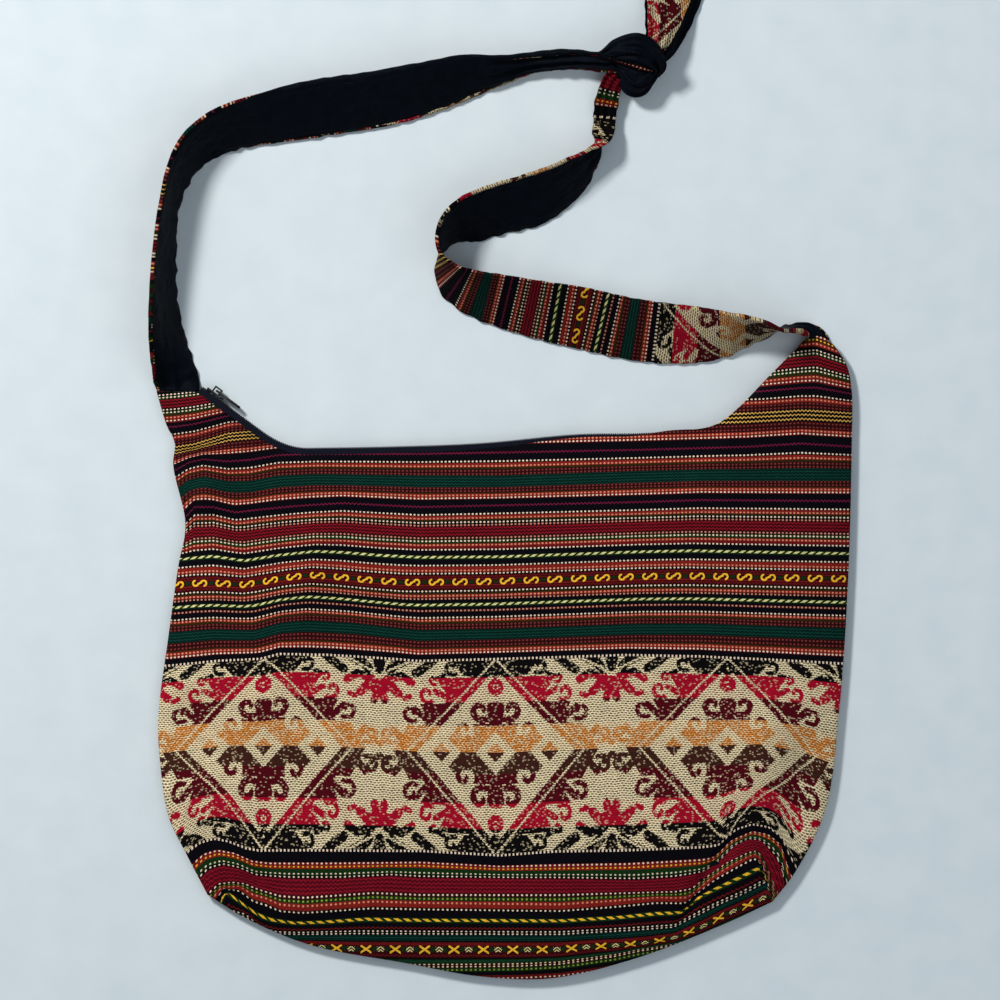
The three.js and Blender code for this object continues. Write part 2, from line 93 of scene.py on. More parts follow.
# Strap routes: x, y, roll in degrees, share of the strap's width, lift above the surface.
# At roll 0 the woven side is up, at 90 the strap stands on its edge, at 180 the lining is up.
LEFT_ROUTE = [
    (-186.4, 150.3, 180, 0.66, 0), (-187.6, 157, 166, 0.7, 0), (-189.6, 167, 140, 0.78, 0),
    (-192.1, 181.3, 122, 0.92, 0), (-193.8, 205, 110, 1, 0), (-192.9, 230.9, 106, 1, 0),
    (-190.6, 254, 103, 1, 0), (-184.1, 275.3, 110, 1, 0), (-175.6, 287.9, 120, 1, 0),
    (-162.5, 297, 129, 1, 0), (-148.2, 302.1, 135, 1, 0), (-104.3, 310.9, 147, 1, 0),
    (-71.3, 315.8, 145, 1, 0), (-45.6, 321.5, 138, 1, 0), (-22.2, 328.3, 140, 0.83, 0),
    (-1.7, 332.3, 135, 0.61, 0), (17.1, 336.6, 140, 0.4, 2), (37.1, 338.2, 145, 0.36, 5),
    (55.9, 336.3, 150, 0.33, 9), (73.5, 335.2, 150, 0.33, 10),
]
RIGHT_ROUTE = [
    (177.3, 175.3, 180, 0.5, 0), (177.2, 180.4, 157, 0.42, 0), (174.6, 184.4, 134, 0.38, 0),
    (169.5, 186, 112, 0.46, 0), (163.5, 186, 100, 0.68, 0), (157, 185.4, 94, 0.9, 0),
    (149.9, 185, 80, 1, 0), (136.8, 184.3, 63, 1, 0), (122.6, 182.4, 44, 1, 0),
    (105.5, 182.4, 27, 1, 0), (88.4, 183.5, 18, 1, 0), (68.4, 186.4, 15, 1, 0),
    (42.8, 192.1, 15, 1, 0), (20, 196.4, 27, 1, 0), (-2.9, 201.8, 38, 1, 0),
    (-17.1, 205.8, 47, 1, 0), (-27.9, 211.5, 57, 1, 0), (-34.2, 219.5, 72, 1, 0),
    (-36.5, 228, 90, 1, 0), (-34.2, 236.6, 105, 1, 0), (-28.5, 243.4, 120, 1, 0),
    (-18.8, 248.5, 135, 1, 0), (-2.9, 254.2, 138, 1, 0), (14.3, 258.8, 141, 1, 0),
    (30.2, 266.8, 133, 0.94, 0), (42.2, 275.9, 129, 0.78, 0), (50.7, 285.6, 115, 0.56, 0),
    (55.3, 294.7, 60, 0.44, 0), (56.7, 305, 30, 0.36, 1), (57.9, 314.6, 15, 0.36, 4),
    (62, 326.6, 10, 0.33, 7), (73.5, 335.2, 10, 0.33, 8),
]
UPPER_TAIL = [
    (73.5, 335.2, 0, 0.33, 16), (85.5, 346, 0, 0.36, 15), (90, 359, 0, 0.55, 9),
    (93, 373.4, 0, 0.72, 4), (97.5, 396, 0, 0.86, 2.6), (102.6, 424.7, 0, 0.94, 2.6),
]
LOWER_TAIL = [
    (77, 335, 180, 0.33, 8), (90, 346, 180, 0.36, 5), (94.6, 359, 180, 0.55, 1),
    (97.6, 373.4, 180, 0.72, 0), (102.1, 396, 180, 0.86, 0), (107.2, 423, 180, 0.94, 0),
]

# Colours of the yarns and other materials, as they look in daylight
YARN = {
    "navy": (9, 8, 15), "black": (10, 8, 10), "cream": (236, 218, 174), "white": (238, 216, 190),
    "crimson": (142, 20, 36), "red": (104, 20, 22), "dark_red": (54, 9, 14), "maroon": (46, 10, 13),
    "rust": (128, 32, 26), "salmon": (220, 142, 112), "teal": (3, 32, 28), "sea": (16, 64, 52),
    "green": (18, 48, 18), "olive": (44, 36, 12), "gold": (246, 190, 52), "magenta": (112, 24, 56),
    "dim": (124, 54, 50), "pink": (206, 140, 118), "wine": (84, 10, 24), "leaf": (226, 218, 150),
    "lime": (150, 158, 60), "straw": (216, 170, 84),
    "band_ground": (246, 228, 184), "band_gap": (26, 18, 18), "band_black": (14, 11, 13),
    "band_crimson": (172, 14, 42), "band_maroon": (82, 10, 22), "band_ochre": (224, 138, 58),
    "band_brown": (66, 34, 26), "cotton": (6, 10, 17), "tape": (17, 20, 32), "tape_stitch": (20, 20, 28),
    "nylon": (16, 17, 22), "nylon_worn": (38, 40, 50), "metal": (12, 12, 15), "metal_worn": (26, 26, 30),
    "metal_rubbed": (70, 68, 66), "floor": (192, 206, 213), "floor_pale": (216, 225, 230),
}

# Kinds of stripe that repeat: the figure, its yarn and the ground yarn
NAVY = ("plain", "navy", "navy")
BLACK = ("plain", "black", "black")
OLIVE = ("plain", "olive", "olive")
RUST = ("plain", "rust", "rust")
RED = ("plain", "red", "red")
WHITE_RED = ("dots", "white", "red")
WHITE_BLACK = ("dots", "white", "black")
WHITE_GREEN = ("dots", "white", "green")
SALMON = ("dots", "salmon", "rust")
DIM = ("dots", "dim", "maroon")
PINK = ("dots", "pink", "maroon")
CRIMSON = ("zigzag", "crimson", "dark_red")
WINE = ("zigzag", "crimson", "wine")
STRAW = ("zigzag", "straw", "black")
MAGENTA = ("zigzag", "magenta", "navy")
BRIGHT = ("zigzag", "red", "dark_red")
SEA = ("ribs", "sea", "teal")
LEAF = ("chain", "leaf", "green")

# The stripes of the cloth, from the horns down: the photograph's row where each begins, in the column
# where the cloth lies flattest, and its kind
STRIPES_ABOVE = [
    (341, WHITE_RED), (344.5, ("dots", "gold", "olive")), (348.5, SALMON), (353, BLACK), (356, WHITE_BLACK),
    (359, WHITE_GREEN), (362.5, CRIMSON), (366.2, CRIMSON), (369.8, CRIMSON), (373.5, WHITE_BLACK),
    (377, WHITE_GREEN), (380.5, OLIVE), (383, SALMON), (386.4, WHITE_RED), (390.5, NAVY), (394, MAGENTA),
    (397.5, NAVY), (402.8, WHITE_BLACK), (406, SALMON), (410.5, DIM), (414, DIM), (417.5, STRAW),
    (421.8, STRAW), (426, STRAW), (430.5, DIM), (434.5, DIM), (438.5, SALMON), (441.8, WHITE_RED),
    (444.7, NAVY), (451.8, MAGENTA), (455.2, NAVY), (460.3, WHITE_BLACK), (463, RUST), (465, SALMON),
    (467, OLIVE), (469, DIM), (472.2, DIM), (475, SEA), (486.5, DIM), (489.5, DIM), (492.3, OLIVE),
    (493.6, SALMON), (497, WHITE_RED), (499.4, NAVY), (504.8, MAGENTA), (508.4, NAVY), (513.4, WHITE_BLACK),
    (515.8, RUST), (517.5, SALMON), (519.3, OLIVE), (520.9, WHITE_BLACK), (524.2, PINK), (526.6, CRIMSON),
    (529.8, CRIMSON), (532.9, CRIMSON), (536.2, PINK), (539.6, WHITE_GREEN), (542.3, OLIVE),
    (543.6, SALMON), (546.2, RED), (548.4, WHITE_BLACK), (550.4, NAVY), (554.8, LEAF), (558.8, NAVY),
    (564.2, WHITE_BLACK), (566.4, RUST), (568.9, SALMON), (572, WHITE_BLACK), (574.8, BRIGHT),
    (578.4, ("scrolls", "gold", "dark_red")), (585.4, BRIGHT), (589.6, WHITE_BLACK), (592.3, OLIVE),
    (593.9, SALMON), (597, ("dots", "pink", "black")), (599.8, NAVY), (602.4, LEAF), (606.2, NAVY),
    (608.8, PINK), (611.4, NAVY), (615.6, WHITE_BLACK), (618.1, SALMON), (620.9, OLIVE), (622.7, DIM),
    (625.7, DIM), (628.6, SEA), (639.3, DIM), (643.1, DIM), (646.5, OLIVE), (647.8, SALMON),
    (651.2, WHITE_RED), (653.5, NAVY),
]
BAND_TOP = 658.6
BAND_BOTTOM = 850.5
STRIPES_BELOW = [
    (BAND_BOTTOM, NAVY), (860.3, WHITE_RED), (862.9, ("dots", "gold", "rust")),
    (867.3, ("plain", "green", "green")), (870.7, WHITE_GREEN), (874.6, WHITE_BLACK), (877.8, WINE),
    (881.6, WINE), (885.4, WINE), (889.2, WINE), (893, ("dots", "white", "maroon")),
    (896.2, ("dots", "lime", "green")), (899.6, SALMON), (903.4, RUST), (905.6, WHITE_BLACK), (909, NAVY),
    (914.8, ("backchain", "gold", "green")), (920, NAVY), (923.8, ("zigzag", "red", "black")),
    (927.8, ("pairs", "white", "black")), (933, SEA), (938.4, BLACK), (940, RED),
    (943.2, ("crosses", "gold", "dark_red")), (951.8, BRIGHT), (956.2, BLACK),
    (958, ("ribs", "sea", "green")), (961.8, ("pairs", "cream", "maroon")),
    (967.2, ("dots", "lime", "green")), (971, BLACK), (975, WHITE_RED),
]
CHART_END = 981
FIGURES = ["plain", "dots", "zigzag", "chain", "scrolls", "pairs", "backchain", "crosses", "ribs"]

# Where rows of the cloth run in the photograph, as columns and rows of pixels, for the row named first
GUIDE_ROWS = [
    (345, [(150, 386), (215, 380), (300, 372), (700, 341), (760, 346), (815, 338), (850, 352)]),
    (424, [(175, 451), (195, 448), (214, 442), (229, 437), (251, 435), (330, 430), (600, 422), (745, 418),
        (800, 415), (848, 417)]),
    (453.5, [(176, 470), (190, 462), (203, 459), (229, 461.5), (251, 460), (279, 455), (325, 454),
        (420, 454), (640, 450), (745, 447), (800, 443.5), (848, 446.5)]),
    (480.5, [(178, 493), (188, 485), (205, 481), (229, 486.5), (251, 486.5), (279, 481), (316, 479),
        (420, 481), (500, 481.5), (640, 476.5), (700, 475), (845, 474.5)]),
    (506.6, [(184, 520), (195, 507), (214, 507), (236, 512.4), (260, 509.6), (297, 506), (343, 503),
        (420, 507), (640, 502), (700, 500), (845, 501)]),
    (556.8, [(181, 559), (214, 556), (245, 560.5), (279, 555), (316, 551), (343, 552), (380, 555),
        (420, 557), (500, 556.5), (640, 551.5), (690, 550.5), (845, 553.5)]),
    (581.9, [(177, 585), (195, 583), (219, 583), (244, 584.5), (266, 581), (288, 577), (312, 574.5),
        (334, 576), (362, 579), (403, 582), (487, 581), (637, 576), (686, 575.4), (840, 578.5)]),
    (633.6, [(174, 637), (214, 633.5), (255, 634.5), (281, 627), (306, 624.5), (353, 627), (420, 634.5),
        (500, 633), (640, 628), (700, 628), (843, 633)]),
    (658.6, [(168, 664.5), (220, 659), (262, 657), (280, 652), (329, 653), (395, 657), (418, 659),
        (500, 657), (625, 653), (698, 654.5), (771, 658), (841, 662)]),
    (775, [(165, 776), (230, 768), (330, 770), (420, 775), (500, 777), (625, 771), (700, 769), (760, 766),
        (800, 775), (830, 790)]),
    (850.7, [(165, 880), (189, 852), (200, 843), (215, 838.5), (229, 841), (246, 848), (260, 850.5),
        (305, 850), (420, 850.5), (500, 855), (553, 851), (625, 850), (700, 847), (718, 845), (735, 829),
        (751, 824), (768, 827), (780, 838), (790, 858), (800, 875)]),
    (863, [(170, 905), (195, 864), (205, 855), (219, 850.5), (236, 853), (253, 861), (270, 863.4),
        (322, 863.4), (420, 862), (500, 866), (625, 864), (700, 860), (713, 858), (730, 841), (751, 831),
        (767, 834.5), (780, 843), (788, 872), (800, 900)]),
    (878, [(180, 910), (201, 877), (210, 868.5), (224, 864), (240, 867), (257, 874.6), (288, 877),
        (340, 877), (391, 874), (420, 876), (560, 877), (636, 878.5), (675, 876), (704, 871), (722, 856.5),
        (732, 845), (748, 837.5), (759, 839), (770, 849), (780, 864), (786, 890)]),
    (894.5, [(190, 925), (208, 893), (219, 884), (231, 881.5), (246, 882.5), (262, 889), (281, 894.5),
        (305, 896), (340, 893.5), (374, 891), (420, 893), (560, 893), (675, 890), (692, 887), (705, 876),
        (724, 862), (748, 851), (757, 850), (765, 866), (773, 890), (782, 920)]),
    (904, [(200, 930), (214, 900), (222, 888), (240, 886), (253, 896), (267, 899.5), (281, 906.4),
        (305, 908), (340, 905.6), (374, 903), (420, 904), (560, 906), (608, 902.4), (656, 898), (688, 899),
        (694, 893), (713, 876), (732, 864), (751, 854), (758, 855), (766, 872), (774, 894)]),
    (917.3, [(210, 940), (219, 906), (226, 889), (243, 903), (257, 913), (270, 918.5), (296, 922),
        (322, 921), (365, 917.6), (420, 918.5), (560, 919), (617, 916), (656, 912), (682, 911), (698, 895),
        (719, 885), (742, 874), (761, 865), (768, 882), (775, 898)]),
    (930, [(215, 955), (226, 910), (246, 914), (262, 928), (277, 932), (305, 932), (357, 930.5),
        (420, 930.5), (560, 931), (617, 928), (675, 924.5), (686, 918), (713, 904), (742, 891), (767, 878),
        (776, 900)]),
    (947.4, [(220, 975), (246, 934), (280, 944), (315, 946), (357, 948), (420, 948), (560, 948),
        (587, 945.5), (617, 944.5), (646, 942), (675, 937), (702, 926), (724, 914), (748, 904), (767, 895),
        (780, 900)]),
    (965, [(240, 985), (300, 962), (357, 964), (420, 965.5), (520, 964), (560, 962), (589, 958), (617, 954),
        (640, 949), (675, 944), (702, 936), (748, 916), (780, 905)]),
]

# Folds of the front cloth: the line in photograph pixels, its height in millimetres and its half width
FOLDS = [
    ([(255, 455), (231, 487), (237, 512), (241, 536), (245, 560), (244, 584), (249, 607), (256, 634)],
     -3.2, 11),
    ([(346, 500), (332, 525), (316, 551), (312, 574), (300, 597), (304, 624), (290, 660)], 3.4, 13),
    ([(184, 520), (200, 522), (222, 528)], -3.5, 9),
    ([(196, 480), (205, 500), (208, 520)], 1.6, 9),
    ([(215, 395), (235, 425), (262, 446)], 1.2, 8),
    ([(185, 430), (205, 440), (232, 437)], -1.5, 8),
    ([(276, 640), (262, 700), (240, 770), (216, 838)], 2.8, 15),
    ([(415, 470), (419, 560), (421, 655)], -0.8, 14),
    ([(500, 655), (503, 740), (500, 850)], -0.7, 18),
    ([(640, 455), (632, 560), (626, 650), (628, 740)], 0.9, 22),
    ([(176, 690), (200, 720), (230, 745), (270, 760)], -3, 13),
    ([(170, 770), (200, 800), (224, 838), (232, 870)], 2.8, 12),
    ([(760, 690), (764, 760), (760, 826)], 2.6, 20),
    ([(806, 720), (800, 790), (792, 850)], -1.8, 13),
    ([(560, 900), (620, 905), (680, 900)], -0.9, 12),
]
# Creases where the cloth at the corners of the base is tucked under itself
CREASES = [
    ([(668, 946), (677, 938), (691, 901), (701, 879), (718, 856), (729, 841), (742, 833)], 3.2, 3.2),
    ([(757, 850), (765, 868), (773, 893), (777, 905)], 1.2, 1.8),
    ([(219, 884), (232, 894), (246, 908), (262, 926)], 3, 3),
    ([(778, 838), (786, 852), (789, 872)], 1.6, 2.5),
]
# Swellings beside the creases: a centre in photograph pixels, its radii in pixels and its height
SWELLINGS = [
    ((738, 872), (36, 34), 4.2), ((240, 862), (36, 22), 2.6), ((300, 905), (60, 20), 1.8),
    ((765, 745), (40, 60), 2.0), ((220, 590), (40, 40), 1.2), ((420, 760), (90, 70), 0.8),
]


# Small helpers

def dye(name):
    """A colour of YARN, which is in sRGB, as the linear numbers that shaders use."""
    return [(c / 255 / 12.92 if c < 10.3 else ((c / 255 + 0.055) / 1.055) ** 2.4) for c in YARN[name]]


def column_of(x):
    return x / PIXEL + ORIGIN_COLUMN


def row_of(y):
    return ORIGIN_ROW - y / PIXEL


def place(pixels):
    """Photograph pixels as millimetres in the frame."""
    p = np.asarray(pixels, float)
    return np.column_stack([(p[:, 0] - ORIGIN_COLUMN) * PIXEL, (ORIGIN_ROW - p[:, 1]) * PIXEL])


def smoothstep(x, low, high):
    t = np.clip((np.asarray(x, float) - low) / (high - low), 0, 1)
    return t * t * (3 - 2 * t)


def unit(vectors):
    """The same vectors with a length of 1."""
    return vectors / np.linalg.norm(vectors, axis=1)[:, None]


def curve(points, per_span):
    """A smooth curve through points, with a number of steps for each span between two of them."""
    p = np.asarray(points, float)
    p = np.vstack([2 * p[0] - p[1], p, 2 * p[-1] - p[-2]])
    made = []
    t = np.arange(per_span)[:, None] / per_span
    for p0, p1, p2, p3 in zip(p, p[1:], p[2:], p[3:]):
        gaps = [max(np.linalg.norm(b - a), 1e-6) ** 0.5 for a, b in ((p0, p1), (p1, p2), (p2, p3))]
        leave = gaps[1] * ((p1 - p0) / gaps[0] - (p2 - p0) / (gaps[0] + gaps[1]) + (p2 - p1) / gaps[1])
        reach = gaps[1] * ((p2 - p1) / gaps[1] - (p3 - p1) / (gaps[1] + gaps[2]) + (p3 - p2) / gaps[2])
        c2 = -3 * p1 + 3 * p2 - 2 * leave - reach
        c3 = 2 * p1 - 2 * p2 + leave + reach
        made.append(p1 + leave * t + c2 * t**2 + c3 * t**3)
    return np.vstack(made + [p[-2:-1]])


def along(points):
    """Distance along a line of points, at each of them."""
    steps = np.linalg.norm(np.diff(points, axis=0), axis=1)
    return np.concatenate([[0], np.cumsum(steps)])


def spaced(points, count):
    """Equally spaced points on a line, with both ends."""
    points = np.asarray(points, float)
    way = along(points)
    at = np.linspace(0, way[-1], count)
    return np.column_stack([np.interp(at, way, points[:, i]) for i in range(points.shape[1])])


def distance_to_line(points, line):
    """Distance from each point to a line of points, and how far along the line its foot is, from 0 to 1."""
    best = np.full(len(points), np.inf)
    share = np.zeros(len(points))
    for i, (a, b) in enumerate(zip(line, line[1:])):
        way = b - a
        t = np.clip(((points - a) @ way) / (way @ way), 0, 1)
        d = np.linalg.norm(points - a - t[:, None] * way, axis=1)
        nearer = d < best
        best = np.where(nearer, d, best)
        share = np.where(nearer, (i + t) / (len(line) - 1), share)
    return best, share


RIPPLE_WAVES = 5
RIPPLE_SPREAD = (0.7, 1.5)  # the shortest and the longest wave, for each size
WAVE_START = 6  # a wave starts at up to this angle, in radians


def ripple(x, y, size, seed):
    """A smooth unevenness from -1 to 1, made of a few waves of about one size."""
    draw = np.random.default_rng(seed)
    total = 0
    for _ in range(RIPPLE_WAVES):
        turn = draw.uniform(0, 2 * math.pi)
        length = size * draw.uniform(*RIPPLE_SPREAD)
        way = x * math.cos(turn) + y * math.sin(turn)
        total = total + np.sin(way * 2 * math.pi / length + draw.uniform(0, WAVE_START))
    return total / RIPPLE_WAVES


# Meshes

def new_piece(name, points, faces, material, closed=True):
    """A mesh object from points in millimetres, its faces turned outwards where it is closed."""
    mesh = bpy.data.meshes.new(name)
    mesh.from_pydata((np.asarray(points) * MM).tolist(), [], faces)
    if closed:
        shape = bmesh.new()
        shape.from_mesh(mesh)
        bmesh.ops.recalc_face_normals(shape, faces=shape.faces)
        if shape.calc_volume(signed=True) < 0:
            bmesh.ops.reverse_faces(shape, faces=shape.faces)
        shape.to_mesh(mesh)
        shape.free()
    mesh.polygons.foreach_set("use_smooth", [closed] * len(mesh.polygons))
    mesh.materials.append(material)
    piece = bpy.data.objects.new(name, mesh)
    bpy.context.scene.collection.objects.link(piece)
    return piece


def set_uv(piece, layer, uv):
    """A UV map from one pair of numbers for each point."""
    mesh = piece.data
    corner = np.empty(len(mesh.loops), np.int32)
    mesh.loops.foreach_get("vertex_index", corner)
    made = mesh.uv_layers.new(name=layer)
    made.data.foreach_set("uv", np.asarray(uv, np.float32)[corner].ravel())


def finish_piece(piece, body, node):
    """What every piece needs: the body it rides on, and the node it stands for, which is hidden."""
    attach(piece, body)
    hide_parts(node)


def ring_faces(rows, around):
    """Faces between rows of points, each row a ring."""
    steps = [(i, (i + 1) % around) for i in range(around)]
    starts = range(0, (rows - 1) * around, around)
    return [(row + i, row + j, row + around + j, row + around + i) for row in starts for i, j in steps]


def lofted(name, sections, material):
    """A closed piece through sections, each a ring of points, with both ends capped."""
    rows, around = sections.shape[:2]
    faces = ring_faces(rows, around)
    faces += [tuple(range(around)), tuple(range((rows - 1) * around, rows * around))]
    return new_piece(name, sections.reshape(-1, 3), faces, material)


# Shader helpers

class Wire:
    """A node's output that can be used in sums and comparisons, which OPERATIONS names."""

    def __init__(self, socket):
        self.socket = socket

    def math(self, operation, *others):
        node = self.socket.id_data.nodes.new("ShaderNodeMath")
        node.operation = operation
        for socket, value in zip(node.inputs, (self, *others)):
            feed(socket, value)
        return Wire(node.outputs[0])

    def __rsub__(self, other):
        return (self * -1) + other

    def is_about(self, number):
        return self.math("COMPARE", number, 0.5)

    def clamp(self):
        return self.least(1).most(0)


OPERATIONS = {
    "__add__": "ADD", "__sub__": "SUBTRACT", "__mul__": "MULTIPLY", "__truediv__": "DIVIDE",
    "__abs__": "ABSOLUTE", "floor": "FLOOR", "mod": "FLOORED_MODULO", "least": "MINIMUM",
    "most": "MAXIMUM", "under": "LESS_THAN", "over": "GREATER_THAN", "sine": "SINE", "root": "SQRT",
}
for word, operation in OPERATIONS.items():
    setattr(Wire, word, functools.partialmethod(Wire.math, operation))


def feed(socket, value):
    """Puts a wire, a colour, a vector or a number into a node's input."""
    if isinstance(value, Wire):
        socket.id_data.links.new(value.socket, socket)
    elif isinstance(value, (tuple, list)):
        socket.default_value = (*value, 1.0)[:len(socket.default_value)]
    else:
        socket.default_value = value


def length_of(x, y):
    """The length of a vector of two wires."""
    return (x * x + y * y).root()


class Shader:
    """A material's node tree with its main shader."""

    def __init__(self, name, roughness, specular=0.15, metallic=0.0):
        self.material = bpy.data.materials.new(name)
        self.material.use_nodes = True
        self.tree = self.material.node_tree
        self.main = self.tree.nodes["Principled BSDF"]
        self.set("Roughness", roughness)
        self.set("Metallic", metallic)
        self.set("Specular IOR Level", specular)

    def set(self, name, value):
        feed(self.main.inputs[name], value)

    def node(self, kind, inputs, **settings):
        """A node with its settings and what goes into its inputs."""
        node = self.tree.nodes.new(kind)
        for name, value in settings.items():
            setattr(node, name, value)
        for name, value in inputs.items():
            feed(node.inputs[name], value)
        return node

    def wire(self, kind, inputs, output=0, **settings):
        """One output of a new node."""
        return Wire(self.node(kind, inputs, **settings).outputs[output])

    def uv(self, layer):
        """The two coordinates of a UV map."""
        source = self.wire("ShaderNodeUVMap", {}, uv_map=layer)
        split = self.node("ShaderNodeSeparateXYZ", {0: source})
        return Wire(split.outputs[0]), Wire(split.outputs[1])

    def join(self, x, y, z=0.0):
        return self.wire("ShaderNodeCombineXYZ", {0: x, 1: y, 2: z})

    def mix(self, factor, low, high):
        """A colour between two."""
        return self.wire("ShaderNodeMix", {0: factor, 6: low, 7: high}, 2, data_type="RGBA")

    def vector(self, operation, *values, output=0):
        return self.wire("ShaderNodeVectorMath", dict(enumerate(values)), output, operation=operation)

    def tint(self, colour, amount):
        """A colour made lighter or darker by a number around 1."""
        return self.wire("ShaderNodeVectorMath", {0: colour, "Scale": amount}, operation="SCALE")

    def noise(self, scale, detail=2.0, **vector):
        return self.wire("ShaderNodeTexNoise", {"Scale": scale, "Detail": detail, **vector})

    def speck(self, x, y):
        """A random number from 0 to 1 for each whole pair of coordinates."""
        cell = self.join(x.floor(), y.floor())
        return self.wire("ShaderNodeTexWhiteNoise", {"Vector": cell}, "Value", noise_dimensions="2D")

    def ramp(self, value, stops):
        """Colour and alpha from a stepped table: pairs of a place from 0 to 1 and a colour with alpha."""
        node = self.node("ShaderNodeValToRGB", {0: value})
        table = node.color_ramp
        table.interpolation = "CONSTANT"
        while len(table.elements) < len(stops):
            table.elements.new(1.0)
        for element, (spot, colour) in zip(table.elements, stops):
            element.position = spot
            element.color = colour
        return Wire(node.outputs[0]), Wire(node.outputs[1])

    def bump(self, height, distance, strength):
        inputs = {"Strength": strength, "Distance": distance, "Height": height}
        self.set("Normal", self.wire("ShaderNodeBump", inputs))

    def mix_in(self, factor, colour):
        """A second shader like the main one but for its colour, shown where the factor is 1."""
        alike = ("Roughness", "Specular IOR Level")
        inputs = {name: self.main.inputs[name].default_value for name in alike}
        inputs["Base Color"] = colour
        inputs["Normal"] = Wire(self.main.inputs["Normal"].links[0].from_socket)
        other = self.wire("ShaderNodeBsdfPrincipled", inputs)
        both = self.wire("ShaderNodeMixShader", {0: factor, 1: Wire(self.main.outputs[0]), 2: other})
        feed(self.tree.nodes["Material Output"].inputs["Surface"], both)


# The woven cloth. Its coordinates and sizes are in pixels of the photograph.

RAMP_ROWS = 28  # stripes on one stepped table
RAMP_FIGURES = 10  # the table's alpha is a figure's number over this
DOT_PITCH = 3.86
DOT_PITCH_BELOW = 4.64
DOT_HALF = (1.05, 0.84)
PAIR_HALF = (1.1, 0.74)
PAIR_OFFSET = 1.25
ZIGZAG_REACH = 0.8
ZIGZAG_HALF = 0.62
CHAIN = (7.7, 4.2, 1.15, 1.6)  # dashes: pitch, length, half width and slant
BACKCHAIN = (9.65, 5.2, 1.35, -1.6)
CHEVRON = (3.6, 1.6, 2.6, 1.1)
CHEVRON_START = 11
RIB_PITCH = 2.9
RIB_SWAY = 0.5
RIB_LEVEL = 0.35  # of the wave, over which a rib shows
SCROLL_PITCH = 23.6
SCROLL_LOBE = 4.1
SCROLL_RADIUS = 2.6
SCROLL_STROKE = 0.95
SCROLL_OPENING = 0.3  # where a hook's open quarter begins
SCROLL_BRIDGE = (1.0, 2.2)  # half width and half length
BRIDGE_SLANT = (0.55, 0.9)  # across and down
SCROLL_BLOCK = (9.4, 1.5)  # where a block begins, and its half height
SCROLL_RAIL = 2.75
CROSS_PITCH = 29.3
CROSS_SLOPE = 0.72
CROSS_HALF = 1.25
CROSS_REACH = 5.4
DIAMOND = (8.2, 3.1)  # its middle and its reach


def stripe_groups(stripes, end):
    """Groups of stripes that fit on a table, each stripe with where it starts and ends."""
    ends = [start for start, _ in stripes[1:]] + [end]
    rows = [(start, stop, *kind) for (start, kind), stop in zip(stripes, ends)]
    return [rows[first:first + RAMP_ROWS] for first in range(0, len(rows), RAMP_ROWS)]


def stripe_rows(shader, v):
    """Ground colour, figure colour, figure number and height from the stripe's middle, for each row."""
    ground = figure = number = middle = None
    for rows in stripe_groups(STRIPES_ABOVE, BAND_TOP) + stripe_groups(STRIPES_BELOW, CHART_END):
        start = rows[0][0]
        span = rows[-1][1] - start
        spot = (v - start) / span
        grounds = []
        figures = []
        for low, high, kind, yarn, base in rows:
            at = (low - start) / span
            grounds.append((at, (*dye(base), FIGURES.index(kind) / RAMP_FIGURES)))
            figures.append((at, (*dye(yarn), ((low + high) / 2 - start) / span)))
        base_colour, code = shader.ramp(spot, grounds)
        yarn_colour, centre = shader.ramp(spot, figures)
        centre = centre * span + start
        if ground is None:
            ground, figure, number, middle = base_colour, yarn_colour, code, centre
            continue
        here = v.over(start)
        ground = shader.mix(here, ground, base_colour)
        figure = shader.mix(here, figure, yarn_colour)
        number = number + (code - number) * here
        middle = middle + (centre - middle) * here
    return ground, figure, number * RAMP_FIGURES, v - middle


def triangle_wave(u, pitch):
    """A wave from -1 to 1 with straight flanks."""
    return abs((u / pitch).mod(1) - 0.5) * 4 - 1


def folded(u, pitch):
    """The distance from the nearest middle of a repeat."""
    return abs((u / pitch).mod(1) - 0.5) * pitch


def dashes(u, w, pitch, length, half, slant):
    """A row of slanting dashes."""
    return (u + w * slant).mod(pitch).under(length) * abs(w).under(half)


def figure_mask(u, w, number, below):
    """Where the figure's yarn floats over the ground, in the stripes' own figures."""
    pitch = below * (DOT_PITCH_BELOW - DOT_PITCH) + DOT_PITCH
    side = folded(u, pitch)
    figures = {
        "dots": length_of(side / DOT_HALF[0], w / DOT_HALF[1]).under(1),
        "pairs": length_of(side / PAIR_HALF[0], (abs(w) - PAIR_OFFSET) / PAIR_HALF[1]).under(1),
        "zigzag": abs(w - triangle_wave(u, pitch) * ZIGZAG_REACH).under(ZIGZAG_HALF),
        "chain": dashes(u, w, *CHAIN),
        "backchain": dashes(u, w, *BACKCHAIN),
        "ribs": triangle_wave(w + triangle_wave(u, pitch) * RIB_SWAY, RIB_PITCH).over(RIB_LEVEL),
    }
    t = (u / SCROLL_PITCH).mod(1) * SCROLL_PITCH - SCROLL_PITCH / 2
    hooks = []
    for way in (1, -1):
        ring = abs(length_of(t + SCROLL_LOBE * way, w) - SCROLL_RADIUS).under(SCROLL_STROKE)
        gap = (t * way).over(-SCROLL_LOBE) * (w * -way).over(SCROLL_OPENING)
        hooks.append(ring * (1 - gap))
    scroll = hooks[0].most(hooks[1])
    slanting = w * BRIDGE_SLANT[1] + t * BRIDGE_SLANT[0]
    bridge = abs(slanting).under(SCROLL_BRIDGE[0]) * abs(t).under(SCROLL_BRIDGE[1])
    figures["scrolls"] = scroll.most(bridge)
    t = folded(u, CROSS_PITCH)
    figures["crosses"] = abs(abs(w) - t * CROSS_SLOPE).under(CROSS_HALF) * t.under(CROSS_REACH)
    shown = (shape * number.is_about(FIGURES.index(kind)) for kind, shape in figures.items())
    return functools.reduce(operator.add, shown)


